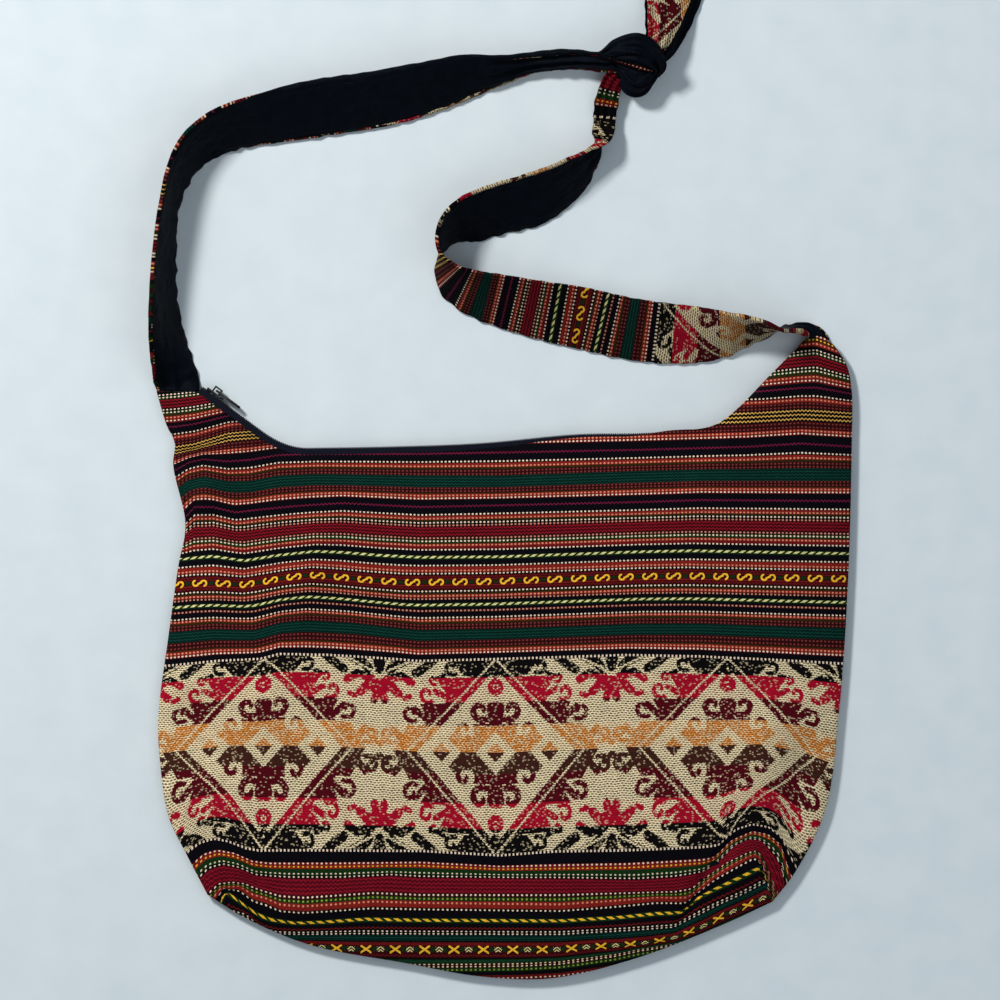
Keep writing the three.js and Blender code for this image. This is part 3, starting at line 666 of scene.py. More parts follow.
def second_yarns(shader, ground, u, w, number):
    """The green blocks between scrolls and beside crosses, and the pale chevrons between crosses."""
    t = folded(u, SCROLL_PITCH)
    scroll_row = number.is_about(FIGURES.index("scrolls"))
    blocks = t.over(SCROLL_BLOCK[0]) * abs(w).under(SCROLL_BLOCK[1]) * scroll_row
    rails = abs(w).over(SCROLL_RAIL) * scroll_row
    s = folded(u, CROSS_PITCH)
    cross_row = number.is_about(FIGURES.index("crosses"))
    diamonds = (abs(s - DIAMOND[0]) + abs(w)).under(DIAMOND[1]) * cross_row
    chevrons = dashes(s, w, *CHEVRON) * s.over(CHEVRON_START) * cross_row
    ground = shader.mix(rails, ground, dye("rust"))
    ground = shader.mix((blocks + diamonds).clamp(), ground, dye("green"))
    return shader.mix(chevrons, ground, dye("leaf"))


# The pictorial band: figures around the lozenges' axes, folded to one quarter. Places are in pixels from
# a lozenge's middle, and gap places from the middle between two lozenges.
PERIOD = 231
AXIS = 264
HALF = PERIOD / 2
FIGURE_MIDDLE = 750
LOWER_STRETCH = 0.09  # how much taller the figures are below their middle
LOZENGE = (88, 90)
LOZENGE_LINES = [(4, 3.1), (-3.8, 3)]  # distance from the lozenge's edge, half width
LOZENGE_GAP = (0.1, 0.9)
OCHRE_ROWS = (724, 750)
ZONES = [
    (BAND_TOP, "black"), (677, "crimson"), (701, "maroon"), (OCHRE_ROWS[0], "ochre"),
    (OCHRE_ROWS[1], "brown"), (771, "maroon"), (800, "crimson"), (825, "black"),
]
LEAVES = [  # beside the lozenge: nearest, farthest, reach from the axis there and its slope
    (0, 26, 102, -0.6), (27, 48, 52, 0.48), (49, 73, 12, 0.65), (74, 92, -28, 0.8),
]
HOOKS = [  # middle, outer radius, half stroke
    ((44, 83), 10, 2.1), ((68, 57), 11, 2.2), ((62, 71), 6.5, 1.8), ((84, 38), 11.5, 2.3),
    ((106, 15), 11.5, 2.3), ((31, 22), 12, 2.5), ((15, 41), 14, 3.2),
]
HOOK_START = 0.375  # of a turn, where a hook leaves its stem
HOOK_SHRINK = 0.72  # of its radius, over one turn
RING = ((0, 63), 5.4, 2.8)
RING_DOT = 1.9
STROKES = [  # from, to, half width
    ((46, 52), (60, 60), 3), ((67, 30), (80, 42), 3.2), ((90, 8), (101, 20), 3.6),
    ((52, 75), (58, 72), 2.4), ((0, 74), (14, 86), 2.6), ((0, 26), (3, 43), 6),
]
GAP_STROKES = [
    ((32, 68), (24, 73), 4), ((22, 74), (8, 70), 4.2), ((19, 56), (9, 66), 4.4), ((5, 49), (2, 60), 4),
    ((0, 63), (6, 63), 7), ((30, 54), (25, 52), 2.6), ((54, 91), (47, 85), 4.4), ((44, 83), (36, 78), 4.6),
    ((30, 92), (21, 87), 4.8), ((18, 87), (11, 80), 4.8), ((3, 90), (0, 79), 4.2), ((0, 5), (8, 12), 2.6),
]
STEM = ((50, 98), (8, 78), 1.0)  # the pale line through the leaves
CORE_EDGE = -20  # how far inside the lozenge its middle figures end
CORE_REACH = 28
CORE_CLEARING = ((31, 22), 10)  # round the hook beside the core
EYES = (0, 54)  # small lozenges on the middle line, each in a clearing
EYE_REACH = 9
EYE_CLEARING = 20
BORDER = 2.2  # dotted rows along the band
BRICK = (3.7, 2.3)  # a floating thread's length and height
BRICK_WAVE = (4 * BRICK[0], 0.5)  # the rows' waves: length and height
BRICK_GAP = (5, 9.5)  # across and down: the larger, the smaller the gap between threads
GAP_DARKNESS = 0.8
SPECKS = (0.88, 0.45)  # the chance over which a pale speck shows, and how pale it is
OCHRE_SPECKS = (0.6, 0.7)
INK_SHADE = 0.26
TOOTH_LEVEL = 0.1  # of the wave, over which a border's dot shows
GRAIN = (1.2, 1.15)  # the steps of the figures' edges, across and down
SPECK_WIDTH = 1.7


def stroke_distance(shader, point, start, end, between=False):
    """Distance from a point to a straight stroke, its places from the lozenge or from the gap's middle."""
    if between:
        start, end = ((HALF - x, y) for x, y in (start, end))
    way = np.subtract(end, start, dtype=float)
    away = shader.vector("SUBTRACT", point, (*start, 0))
    t = shader.vector("DOT_PRODUCT", away, (*(way / (way @ way)), 0), output="Value").clamp()
    left = shader.vector("MULTIPLY_ADD", shader.join(t, t, t), (*-way, 0), away)
    return shader.vector("LENGTH", left, output="Value")


def point_distance(shader, point, middle):
    return shader.vector("DISTANCE", point, (*middle, 0), output="Value")


def hook_distance(a, b, middle, radius, half):
    """Distance to a hook: a stroke that winds inwards for one turn."""
    x = a - middle[0]
    y = b - middle[1]
    turn = (y.math("ARCTAN2", x) / (2 * math.pi) + HOOK_START).mod(1)
    reach = turn * (-HOOK_SHRINK * radius) + (radius - half)
    return abs(length_of(x, y) - reach) - half


def band_ink(shader, a, b):
    """Where the band's figures are woven, in a quarter of the pattern."""
    point = shader.join(a, b)
    away = point_distance(shader, point, RING[0])
    shape = (abs(away - RING[1]) - RING[2]).least(away - RING_DOT)
    for hook in HOOKS:
        shape = shape.least(hook_distance(a, b, *hook))
    for strokes, between in ((STROKES, False), (GAP_STROKES, True)):
        for start, end, half in strokes:
            shape = shape.least(stroke_distance(shader, point, start, end, between) - half)
    edge = (a * LOZENGE[1] + b * LOZENGE[0] - LOZENGE[0] * LOZENGE[1]) / math.hypot(*LOZENGE)
    for offset, half in LOZENGE_LINES:
        shape = shape.least(abs(edge - offset) - half)
    ink = shape.under(0)
    for near, far, reach, slope in LEAVES:
        ink = ink.most(edge.over(1) * (a - b * slope).under(reach) * b.over(near) * b.under(far))
    core = b.under(CORE_REACH) * edge.under(CORE_EDGE)
    core = core * point_distance(shader, point, CORE_CLEARING[0]).over(CORE_CLEARING[1])
    for middle in EYES:
        eye = abs(a - middle) + b
        core = core * eye.over(EYE_CLEARING)
        ink = ink.most(eye.under(EYE_REACH))
    ink = ink.most(core)
    stem = stroke_distance(shader, point, *STEM[:2], between=True)
    return ink * stem.over(STEM[2]) * abs(edge - LOZENGE_GAP[0]).over(LOZENGE_GAP[1])


def bricks(u, v):
    """Dark gaps between the floating threads, staggered from row to row."""
    row = (v + triangle_wave(u, BRICK_WAVE[0]) * BRICK_WAVE[1]) / BRICK[1]
    across = (u / BRICK[0] + row.floor() * 0.5).mod(1) - 0.5
    down = row.mod(1) - 0.5
    return (across * across * BRICK_GAP[0] + down * down * BRICK_GAP[1]).under(1)


def pictorial(shader, u, v):
    """The colour of the pictorial band."""
    row = (v / GRAIN[1]).floor()
    stagger = row.mod(2) * 0.5
    cell = (u / GRAIN[0] + stagger).floor() * GRAIN[0] - stagger * GRAIN[0]
    a = abs((cell - AXIS + HALF).mod(PERIOD) - HALF)
    b = abs(row * GRAIN[1] + 0.5 - FIGURE_MIDDLE) * (1 - v.over(FIGURE_MIDDLE) * LOWER_STRETCH)
    inked = band_ink(shader, a, b)
    height = BAND_BOTTOM - BAND_TOP
    stops = [((start - BAND_TOP) / height, (*dye(f"band_{name}"), 1)) for start, name in ZONES]
    zone, _ = shader.ramp((v - BAND_TOP) / height, stops)
    ochre = v.over(OCHRE_ROWS[0]) * v.under(OCHRE_ROWS[1])
    gaps = bricks(u, v)
    chance = shader.speck(u / SPECK_WIDTH + stagger, v / GRAIN[1])
    dark_gap = shader.mix(GAP_DARKNESS, zone, dye("band_gap"))
    ground = shader.mix(gaps * (chance * 0.35 + 0.65), dye("band_ground"), dark_gap)
    pale_speck = chance.over(SPECKS[0]) * SPECKS[1]
    pale_speck = pale_speck.most(ochre * chance.over(OCHRE_SPECKS[0]) * OCHRE_SPECKS[1])
    ink = shader.mix(pale_speck, zone, dye("band_ground"))
    ink = shader.mix(gaps * (ochre * 0.5 + 0.35), ink, shader.tint(zone, INK_SHADE))
    border = abs(v - (BAND_TOP + BAND_BOTTOM) / 2).over(height / 2 - BORDER)
    teeth = triangle_wave(u, DOT_PITCH).over(TOOTH_LEVEL) * border
    colour = shader.mix(inked, ground, ink)
    colour = shader.mix(border, colour, dye("navy"))
    return shader.mix(teeth, colour, dye("white"))


# Materials

STRAP_COLUMN = 300  # the cloth's column along the middle of a strap
STITCH_PLACE = 25  # from the middle of a strap, in pixels
STITCH = (0.6, 4.4, 0.7)  # half width, pitch and the share of it that shows
TAPE_STITCH_PLACE = 5.4  # from the tape's edge, in millimetres
TAPE_STITCH = (0.22, 2.6, 0.72)
# Sizes of a thread's own shade and of the weave's bumps, across and down the cloth or alike in both
WOVEN_THREAD = (1.1, 0.95)
WOVEN_BUMP = (0.55, 0.5)
COTTON_THREAD = 0.7
COTTON_BUMP = 0.45
TAPE_THREAD = (0.5, 0.35)
TAPE_RIB = 0.35
RUBBED_FROM = 0.52  # the sharpness of an edge from which it is rubbed
RUBBED_RISE = 9


def thread_wave(u, width):
    """A wave that rises over one thread and sinks over the next."""
    return (u * (math.pi / width)).sine()


def stitches(across, way, half, pitch, share):
    """A broken line of stitches."""
    return abs(across).under(half) * (way / pitch).mod(1).under(share)


def woven_cloth(name):
    """The striped cloth. An object's own colour makes it lighter or darker; on the straps this is painted
    shade.
    """
    shader = Shader(name, roughness=0.88, specular=0.04)
    u, v = shader.uv("cloth")
    first = STRIPES_ABOVE[0][0]
    v = (v - first).mod(CHART_END - first) + first
    below = v.over(BAND_BOTTOM)
    ground, figure, number, w = stripe_rows(shader, v)
    ground = second_yarns(shader, ground, u, w, number)
    mask = figure_mask(u, w, number, below)
    stripes = shader.mix(mask, ground, figure)
    band = pictorial(shader, u, v)

    threads = shader.speck(u / WOVEN_THREAD[0], v / WOVEN_THREAD[1])
    worn = shader.noise(3.0, Vector=shader.join(u * 0.02, v * 0.02))
    # the object's colour is painted shade; the thread specks and the worn noise are the yarns' own uneven
    # tone
    painted_shade = shader.wire("ShaderNodeObjectInfo", {}, "Color")
    shade = (threads * 0.4 + worn * 0.3 + 0.64) * painted_shade
    shader.set("Base Color", shader.tint(stripes, shade))
    over_under = thread_wave(u, WOVEN_BUMP[0]) * thread_wave(v, WOVEN_BUMP[1])
    shader.bump(over_under * 0.35 - bricks(u, v) * 0.8, distance=0.28 * MM, strength=0.8)
    in_band = v.over(BAND_TOP) * v.under(BAND_BOTTOM)
    shader.mix_in(in_band, shader.tint(band, shade))
    return shader.material


def black_cotton(name):
    """Thin black cotton with a fine weave, a soft shine, slight fading and a line of stitches."""
    shader = Shader(name, roughness=0.5, specular=0.025)
    u, v = shader.uv("cloth")
    fade = shader.noise(1.6, 4.0, Vector=shader.join(u * 0.05, v * 0.05))
    threads = shader.speck(u / COTTON_THREAD, v / COTTON_THREAD)
    stitch = stitches(abs(u - STRAP_COLUMN) - STITCH_PLACE, v, *STITCH)
    shade = fade * 1.3 + threads * 0.25 + stitch * 0.9 + 0.25
    shader.set("Base Color", shader.tint(dye("cotton"), shade))
    weave = thread_wave(u, COTTON_BUMP) * thread_wave(v, COTTON_BUMP)
    crush = shader.noise(1.5, Vector=shader.join(u * 0.06, v * 0.04))
    shader.bump(weave * 0.06 + crush * 4 - stitch * 0.6, distance=0.8 * MM, strength=0.7)
    shader.set("Roughness", fade * 0.2 + 0.42)
    return shader.material


def zip_tape_cloth(name):
    """Ribbed polyester tape with a line of stitches. Its coordinates are in millimetres."""
    shader = Shader(name, roughness=0.75, specular=0.05)
    u, v = shader.uv("cloth")
    ribs = thread_wave(v, TAPE_RIB)
    stitch = stitches(v - TAPE_STITCH_PLACE, u, *TAPE_STITCH)
    threads = shader.speck(u / TAPE_THREAD[0], v / TAPE_THREAD[1])
    colour = shader.tint(dye("tape"), threads * 0.5 + 0.75)
    shader.set("Base Color", shader.mix(stitch, colour, dye("tape_stitch")))
    shader.bump(ribs * 0.3 + stitch, distance=0.2 * MM, strength=0.7)
    return shader.material


def zip_coil_plastic(name):
    """Dark nylon, a little dulled by wear."""
    shader = Shader(name, roughness=0.42)
    wear = shader.noise(900.0)
    shader.set("Base Color", shader.mix(wear, dye("nylon"), dye("nylon_worn")))
    shader.set("Roughness", wear * 0.25 + 0.3)
    return shader.material


def zip_metal(name):
    """Dark painted metal with rubbed edges."""
    shader = Shader(name, roughness=0.38, metallic=0.3)
    wear = shader.noise(420.0, 4.0)
    rubbed = (shader.wire("ShaderNodeNewGeometry", {}, "Pointiness") - RUBBED_FROM) * RUBBED_RISE
    colour = shader.mix(wear, dye("metal"), dye("metal_worn"))
    shader.set("Base Color", shader.mix(rubbed.clamp(), colour, dye("metal_rubbed")))
    shader.set("Roughness", wear * 0.3 + 0.25)
    shader.bump(wear, distance=0.1 * MM, strength=0.3)
    return shader.material


WOVEN = woven_cloth("striped_cloth")
COTTON = black_cotton("black_lining")
TAPE = zip_tape_cloth("zip_tape_weave")
COIL = zip_coil_plastic("zip_coil_nylon")
METAL = zip_metal("zip_slider_metal")


# The body

BEND_STEPS = 24  # of the zip's bend
EDGE_STEPS = 10  # between two points of the outline
MOUTH_STEPS = 12
TAPE_NARROWS = [(0.6, 0.5, 0.85), (0.8, 0.88, 0.985)]  # how much less tape shows, from where to where
LEAST_ROW_GAP = 0.4
RIPPLES = [(0.7, 90, 3), (0.3, 34, 4)]  # height, size and seed
FOLD_STEPS = 4
FOLD_GROWS = (-0.02, 0.25)  # shares of a fold's length
FOLD_FADES = (0.75, 1.02)
CREASE_FADES = (0.8, 1)
RISE = (5, 0.8)  # powers of the front's rise from its rim
RIM_FADE = 0.07  # share of the front, at its rim, where the folds fade
RING_CROWDING = 1.25  # over 1, the rings of points are closer at the rim
RIM_IN = 0.004  # how far the inner face stays inside the outer one, for each millimetre of thickness
RIM_OUT = 0.0016
BACK_RIPPLE = (0.25, 70, 8)
BACK_RISE = 1.4
BACK_RIM = 0.86  # share of the back at which it begins to rise
LINING_GAP = 0.3
LINING_REACH = 0.9
FLOOR_GAP = 0.05  # least height over the surface
FRONT_GRID = (3.3, 92)  # the step along the outline and the number of rings
BACK_GRID = (5.5, 44)
LINING_GRID = (9, 26)
AREA_STEP = 4


def zip_line():
    """Points along the middle of the zip, from its closed end, about half a millimetre apart."""
    start, bend, level = (np.array(p, float) for p in (ZIP_START, ZIP_BEND, ZIP_LEVEL))
    way = (bend - start) / np.linalg.norm(bend - start)
    t = np.linspace(0, 1, BEND_STEPS)[:, None]
    turn = ((1 - t) ** 3 * bend + 3 * (1 - t) ** 2 * t * (bend + way * BEND_PULL)
            + 3 * (1 - t) * t**2 * (level - (BEND_PULL, 0)) + t**3 * level)
    line = np.vstack([[start], turn, curve(ZIP_MOUTH, MOUTH_STEPS)[1:]])
    return spaced(line, round(along(line)[-1] * 2))


def directions(line):
    """The direction of travel at each point of a line."""
    return unit(np.gradient(line, axis=0))


def outward(way):
    return np.column_stack([-way[:, 1], way[:, 0]])


ZIP = zip_line()
ZIP_WAY = directions(ZIP)


def body_outline(step):
    """The outline round the body, with how far the panels are parted: 0 where sewn, 1 beside the zip."""
    share = np.linspace(0, 1, len(ZIP))
    narrower = sum(amount * smoothstep(share, low, high) for amount, low, high in TAPE_NARROWS)
    beside = ZIP - outward(ZIP_WAY) * (TAPE_SHOW * (1 - narrower))[:, None]
    runs = [(np.array([beside[0], LEFT_SIDE[0]], float), 1, 0)]
    runs += [(curve(edge, EDGE_STEPS), 0, 0) for edge in (LEFT_SIDE, BASE, RIGHT_SIDE, RIGHT_TOP)]
    runs += [(curve(RIGHT_SCOOP + [tuple(beside[-1])], EDGE_STEPS), 0, 1), (beside[::-1], 1, 1)]
    points = []
    parted = []
    for line, low, high in runs:
        count = max(3, round(along(line)[-1] / step))
        points.append(spaced(line, count + 1)[:-1])
        parted.append(low + (high - low) * smoothstep(np.linspace(0, 1, count, endpoint=False), 0, 1))
    return np.vstack(points), np.concatenate(parted)


def cloth_rows(x, y):
    """The row of the cloth at points of the front, from the guide rows."""
    column = column_of(x)
    row = row_of(y)
    lines = np.array([np.interp(column, *np.transpose(points)) for _, points in GUIDE_ROWS])
    gaps = np.arange(len(lines))[:, None] * LEAST_ROW_GAP
    lines = np.maximum.accumulate(lines - gaps, axis=0) + gaps
    names = np.array([name for name, _ in GUIDE_ROWS])
    made = names[0] + (row - lines[0])
    for i in range(len(names) - 1):
        share = (row - lines[i]) / (lines[i + 1] - lines[i])
        made = np.where(row >= lines[i], names[i] + share * (names[i + 1] - names[i]), made)
    return np.where(row >= lines[-1], names[-1] + (row - lines[-1]), made)


def front_relief(x, y):
    """Folds, creases and swellings of the front cloth in millimetres."""
    points = np.column_stack([x, y])
    pixels = np.column_stack([column_of(x), row_of(y)])
    relief = sum(height * ripple(x, y, size, seed) for height, size, seed in RIPPLES)
    for line, height, width in FOLDS:
        away, share = distance_to_line(points, place(curve(line, FOLD_STEPS)))
        fade = smoothstep(share, *FOLD_GROWS) * (1 - smoothstep(share, *FOLD_FADES))
        relief = relief + height * np.exp(-((away / width) ** 2)) * fade
    for middle, radii, height in SWELLINGS:
        away = np.linalg.norm((pixels - middle) / radii, axis=1)
        relief = relief + height * (1 - smoothstep(away, 0, 1))
    for line, depth, width in CREASES:
        away, share = distance_to_line(points, place(curve(line, FOLD_STEPS)))
        fade = 1 - smoothstep(share, *CREASE_FADES)
        relief = relief - depth * np.exp(-((away / width) ** 2)) * fade
    return relief


def front_height(points, share, parted):
    """Height of the front cloth's outer face."""
    rim = MIDDLE + LAYER_GAP + CLOTH + LIP * parted
    rise = (1 - share ** RISE[0]) ** RISE[1]
    fade = smoothstep(1 - share, 0, RIM_FADE)
    return rim + (CROWN - rim) * rise + front_relief(*points.T) * fade


def under_front(points, share, parted):
    """Height of the front lining's outer face."""
    return front_height(points, share, parted) - CLOTH - LINING_GAP


def back_height(points, share, parted):
    """Height of the back cloth's inner face: flat on the surface, raised to the rim at its edge."""
    rim = np.maximum(MIDDLE - LAYER_GAP - LIP * parted, CLOTH + FLOOR_GAP)
    lift = smoothstep(share, BACK_RIM, 1) ** BACK_RISE
    height, size, seed = BACK_RIPPLE
    flat = CLOTH + height * (1 + ripple(*points.T, size, seed))
    return flat + (rim - flat) * lift


def over_back(points, share, parted):
    """Height of the back lining's inner face."""
    return back_height(points, share, parted) + LINING_GAP + LINING


def rays(outline, shares):
    """Points on rays from the heart to the outline, one row of points for each share."""
    heart = np.array(HEART)
    return np.array([heart + (outline - heart) * s for s in shares])


def body_sheet(name, grid, height, thickness, material, reach=1.0):
    """A closed sheet of cloth over the body's outline, its rim turned over."""
    step, rings = grid
    outline, parted = body_outline(step)
    around = len(outline)
    shares = 1 - (1 - np.linspace(0, 1, rings)[1:]) ** RING_CROWDING
    rows = rays(outline, shares * reach)
    tops = np.array([height(row, s * reach, parted) for row, s in zip(rows, shares)])
    rim = rays(outline, [reach * (1 + thickness * RIM_OUT)])
    under = rays(outline, shares[::-1] * reach * (1 - thickness * RIM_IN))
    heart_height = height(np.array([HEART]), np.array([0.0]), parted[:1])[0]
    points = np.vstack([
        np.dstack([rows, tops]).reshape(-1, 3),
        np.dstack([rim, tops[-1:] - thickness / 2]).reshape(-1, 3),
        np.dstack([under, tops[::-1] - thickness]).reshape(-1, 3),
        [(*HEART, heart_height), (*HEART, heart_height - thickness)],
    ])
    count = 2 * len(shares) + 1
    last = (count - 1) * around
    top = count * around
    faces = ring_faces(count, around)
    faces += [(top, (i + 1) % around, i) for i in range(around)]
    faces += [(top + 1, last + i, last + (i + 1) % around) for i in range(around)]
    piece = new_piece(name, points, faces, material)
    x, y = points[:, :2].T
    set_uv(piece, "cloth", np.column_stack([column_of(x), cloth_rows(x, y)]))
    set_uv(piece, "OFBake", (points[:, :2] - points[:, :2].min(0)) / np.ptp(points[:, :2], axis=0).max())
    return piece


def bag_area(scale=1.0):
    """The outline's area in square metres."""
    outline, _ = body_outline(AREA_STEP)
    x, y = outline.T
    return abs(np.dot(x, np.roll(y, 1)) - np.dot(y, np.roll(x, 1))) / 2 * MM**2 * scale


def build_body():
    front = body_sheet("front_cloth", FRONT_GRID, front_height, CLOTH, WOVEN)
    finish_piece(front, "bag", "front_panel")
    bag_area()
    back = body_sheet("back_cloth", BACK_GRID, back_height, CLOTH, WOVEN)
    finish_piece(back, "bag", "back_panel")
    bag_area()
    for word, height in (("front", under_front), ("back", over_back)):
        piece = body_sheet(f"lining_{word}_cotton", LINING_GRID, height, LINING, COTTON, LINING_REACH)
        finish_piece(piece, "bag", f"lining_{word}")
        area = bag_area(LINING_REACH**2)


# The zip

TAPE_POINTS = [0, 0.4, 1.2, 2.2, 3.4, 5, 7, 9, TAPE_WIDTH]
TAPE_WAVE = 0.036
TAPE_WAVE_LENGTH = 7
TAPE_WAVE_REACH = 3
COIL_WIRE = 0.34
COIL_STEPS = 9
COIL_SIDES = 6
COIL_ROOM = 0.3  # between the coil and a stop
TUBE_GUIDE = (0.31, 0.17, 0.93)  # a direction that no wire takes
SMALL_METAL = [  # node, piece, width of its rounded edges, body
    ("zip_stop_left", "zip_stop_left_clip", 0.35, "bag"),
    ("zip_stop_right", "zip_stop_right_clip", 0.35, "bag"),
    ("zip_slider", "zip_slider_body", 0.22, "slider"),
    ("zip_pull", "zip_pull_tab", 0.3, "pull"),
]
ROUNDING = [  # how copies of the small metal pieces get clean, rounded edges
    ("WELD", {"merge_threshold": 1e-6}),
    ("DECIMATE", {"decimate_type": "DISSOLVE", "angle_limit": math.radians(1)}),
    ("BEVEL", {"segments": 3, "limit_method": "ANGLE", "angle_limit": math.radians(30)}),
]


def zip_tape(word, side):
    """One half of the zip's tape: a thin strip along the coils, its inner part under the cloth."""
    out = outward(ZIP_WAY)
    way = along(ZIP)
    loop = [(d, TAPE_INNER + TAPE_THICK) for d in TAPE_POINTS]
    loop += [(d, TAPE_INNER) for d in TAPE_POINTS[::-1]]
    strips = []
    coords = []
    for d, up in loop:
        wave = TAPE_WAVE * np.sin(way / TAPE_WAVE_LENGTH) * min(d, TAPE_WAVE_REACH)
        strips.append(np.column_stack([ZIP - out * d, MIDDLE + side * (up + wave)]))
        coords.append(np.column_stack([way, np.full(len(ZIP), d)]))
    piece = lofted(f"zip_tape_{word}_strip", np.swapaxes(strips, 0, 1), TAPE)
    set_uv(piece, "cloth", np.swapaxes(coords, 0, 1).reshape(-1, 2))
    finish_piece(piece, "bag", f"zip_tape_{word}")


def tube(path, radius, sides):
    """Sections of a round tube along a path."""
    way = directions(path)
    side = unit(np.cross(way, TUBE_GUIDE))
    other = np.cross(way, side)
    turn = (np.arange(sides) * 2 * math.pi / sides)[:, None]
    return path[:, None] + radius * (np.cos(turn) * side[:, None] + np.sin(turn) * other[:, None])


def zip_coil(word, side):
    """One half of the coil, as the spring that it is."""
    way = along(ZIP)
    room = STOP_LENGTH + COIL_ROOM
    turns = (way[-1] - 2 * room) / COIL_PITCH
    count = round(turns * COIL_STEPS)
    at = np.linspace(room, way[-1] - room, count)
    middle = np.column_stack([np.interp(at, way, ZIP[:, i]) for i in (0, 1)])
    out = outward(directions(middle))
    turn = np.linspace(0, 2 * math.pi * turns, count)
    reach = COIL_RADIUS - COIL_WIRE
    beside = middle + out * (reach * np.cos(turn))[:, None]
    height = MIDDLE + side * COIL_OFFSET + reach * np.sin(turn)
    spring = tube(np.column_stack([beside, height]), COIL_WIRE, COIL_SIDES)
    piece = lofted(f"zip_coil_{word}_spring", spring, COIL)
    finish_piece(piece, "bag", f"zip_coil_{word}")


def bevelled_copy(node, name, width, body):
    """A copy of a small metal node with its edges rounded."""
    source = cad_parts[node]
    piece = bpy.data.objects.new(name, source.data.copy())
    piece.data.materials.clear()
    piece.data.materials.append(METAL)
    piece.matrix_world = source.matrix_world.copy()
    bpy.context.scene.collection.objects.link(piece)
    for kind, settings in ROUNDING:
        modifier = piece.modifiers.new(kind, kind)
        for setting, value in settings.items():
            setattr(modifier, setting, value)
    piece.modifiers["BEVEL"].width = width * MM
    for polygon in piece.data.polygons:
        polygon.use_smooth = True
    finish_piece(piece, body, node)


def build_zip():
    for word, side in (("front", 1), ("back", -1)):
        zip_tape(word, side)
        zip_coil(word, side)
    for metal in SMALL_METAL:
        bevelled_copy(*metal)


# The straps

SPAN_STEPS = 9
FACE_POINTS = 21
PUCKER_WAVES = 4
PUCKER_SPREAD = (0.6, 1.7)
EDGE_PUCKER = 0.35
EDGE_WAVES = (8, 9)  # the pucker's size: at the lining's edge where across is positive, and elsewhere
CALM_HEM = 0.5  # how much of the pucker a hem takes away
EDGE_POWER = 3  # the higher, the nearer to the edge the pucker stays
RUFFLE = (0.9, 8)  # height and waves' size
RUFFLE_START = 0.2  # share of half the width
PLEAT = 1.3  # height of the pleats where a strap is drawn together
PLEAT_TURN = 8  # radians from a strap's middle to its edge
PLEAT_SWAY = (1.5, 70)  # radians and waves' size
PLEAT_RANGE = (0.12, 0.55)  # how much narrower a strap is where pleats begin and where they are full
CRUMPLE = 0.9
CRUMPLES = [(1, 0.6, 24, 2), (0.5, 0.25, 9, 3)]  # height, stretch across, waves' size and seed
CRUMPLE_OFF = 0.5  # how far the crumpled lining stands off the woven cloth
CRUMPLE_DENT = 0.3  # the deepest that a crumple dents the lining
CRUMPLE_INSIDE = 0.3  # share of what stands off that shows on the hidden face too
FLAT_POWER = 8  # the higher, the nearer to the edge the crumples go
FULL_HEM = 0.8
BINDING = 0.6  # room for the lining where it turns over the cloth's edge
ROLL = 0.6  # half of what a rolled edge takes from the flat face
ROLL_HEIGHT = 0.6  # of the cloth's thickness
# In from the edge, and out beyond the lining
ROLL_LIP = (0.2, 0.3)
HEM_END = (0.3, 0.45)
TIE_PITCH = 6.5  # of the small waves that the stitches make in the lining
TIE_HEIGHT = 0.35
TIE_RANGE = (0.55, 0.9)  # shares of half the width between which they grow
LINING_INSET = 0.6  # of the border, where the lining lies inside a hem
OVERLAP = 0.45
OVERLAP_POWER = 7
OVER_CLOTH = 0.1  # how far a lining that is turned over lies above the cloth
IN_HEM = 0.02  # how far the lining's edge leans towards the cloth in a hem
LEFT_COLUMN = 346  # so that the band's pale ground shows at the left strap's edge
LEFT_BAND = 250  # where the band begins on the left strap, in millimetres along it
BEND_COLUMN = 400  # so that the pale ground shows beyond the right strap's bend too
BAND_POINT, BEND_POINT, TWIST_POINT, KNOT_POINT = 10, 20, 26, 31  # of the right route
BAND_SHIFT = 8  # how far beyond its point the band begins
KNOT_ROW = 799  # row of the cloth where the right strap has twisted over
TAIL_CUT = (312, 684)  # column and row of the cloth at one place on the tails
TAIL_PLACE = (47, 20)  # that place, along and across a tail
TAIL_SLANT = 0.26
LONG = 1000  # more than any strap
SEAM = 0.5  # where two lengths of cloth are joined
HIDDEN = 4  # sections at a strap's end that the knot hides
STRAP_PAINTED_SHADE = 0.6  # painted shade: the straps' woven side is darkened as if it lay in shadow
# Hems: the share of the way, then the hem at the edge where across is negative and at the other edge
TAIL_HEMS = [(0, 0, 0), (1, 0, 0)]
LEFT_HEMS = [(0, 1.5, 0), (0.3, 1.3, 0), (0.42, 0.9, 0.4), (0.52, 0.1, 1.2), (0.8, 0, 2.4), (1, 0, 4.2)]
RIGHT_HEMS = [
    (0, 0.8, 0.8), (0.5, 0.8, 0.6), (0.62, 1.2, 0), (0.82, 1.2, 0), (0.86, 0.8, 0.8), (1, 0.8, 0.8),
]


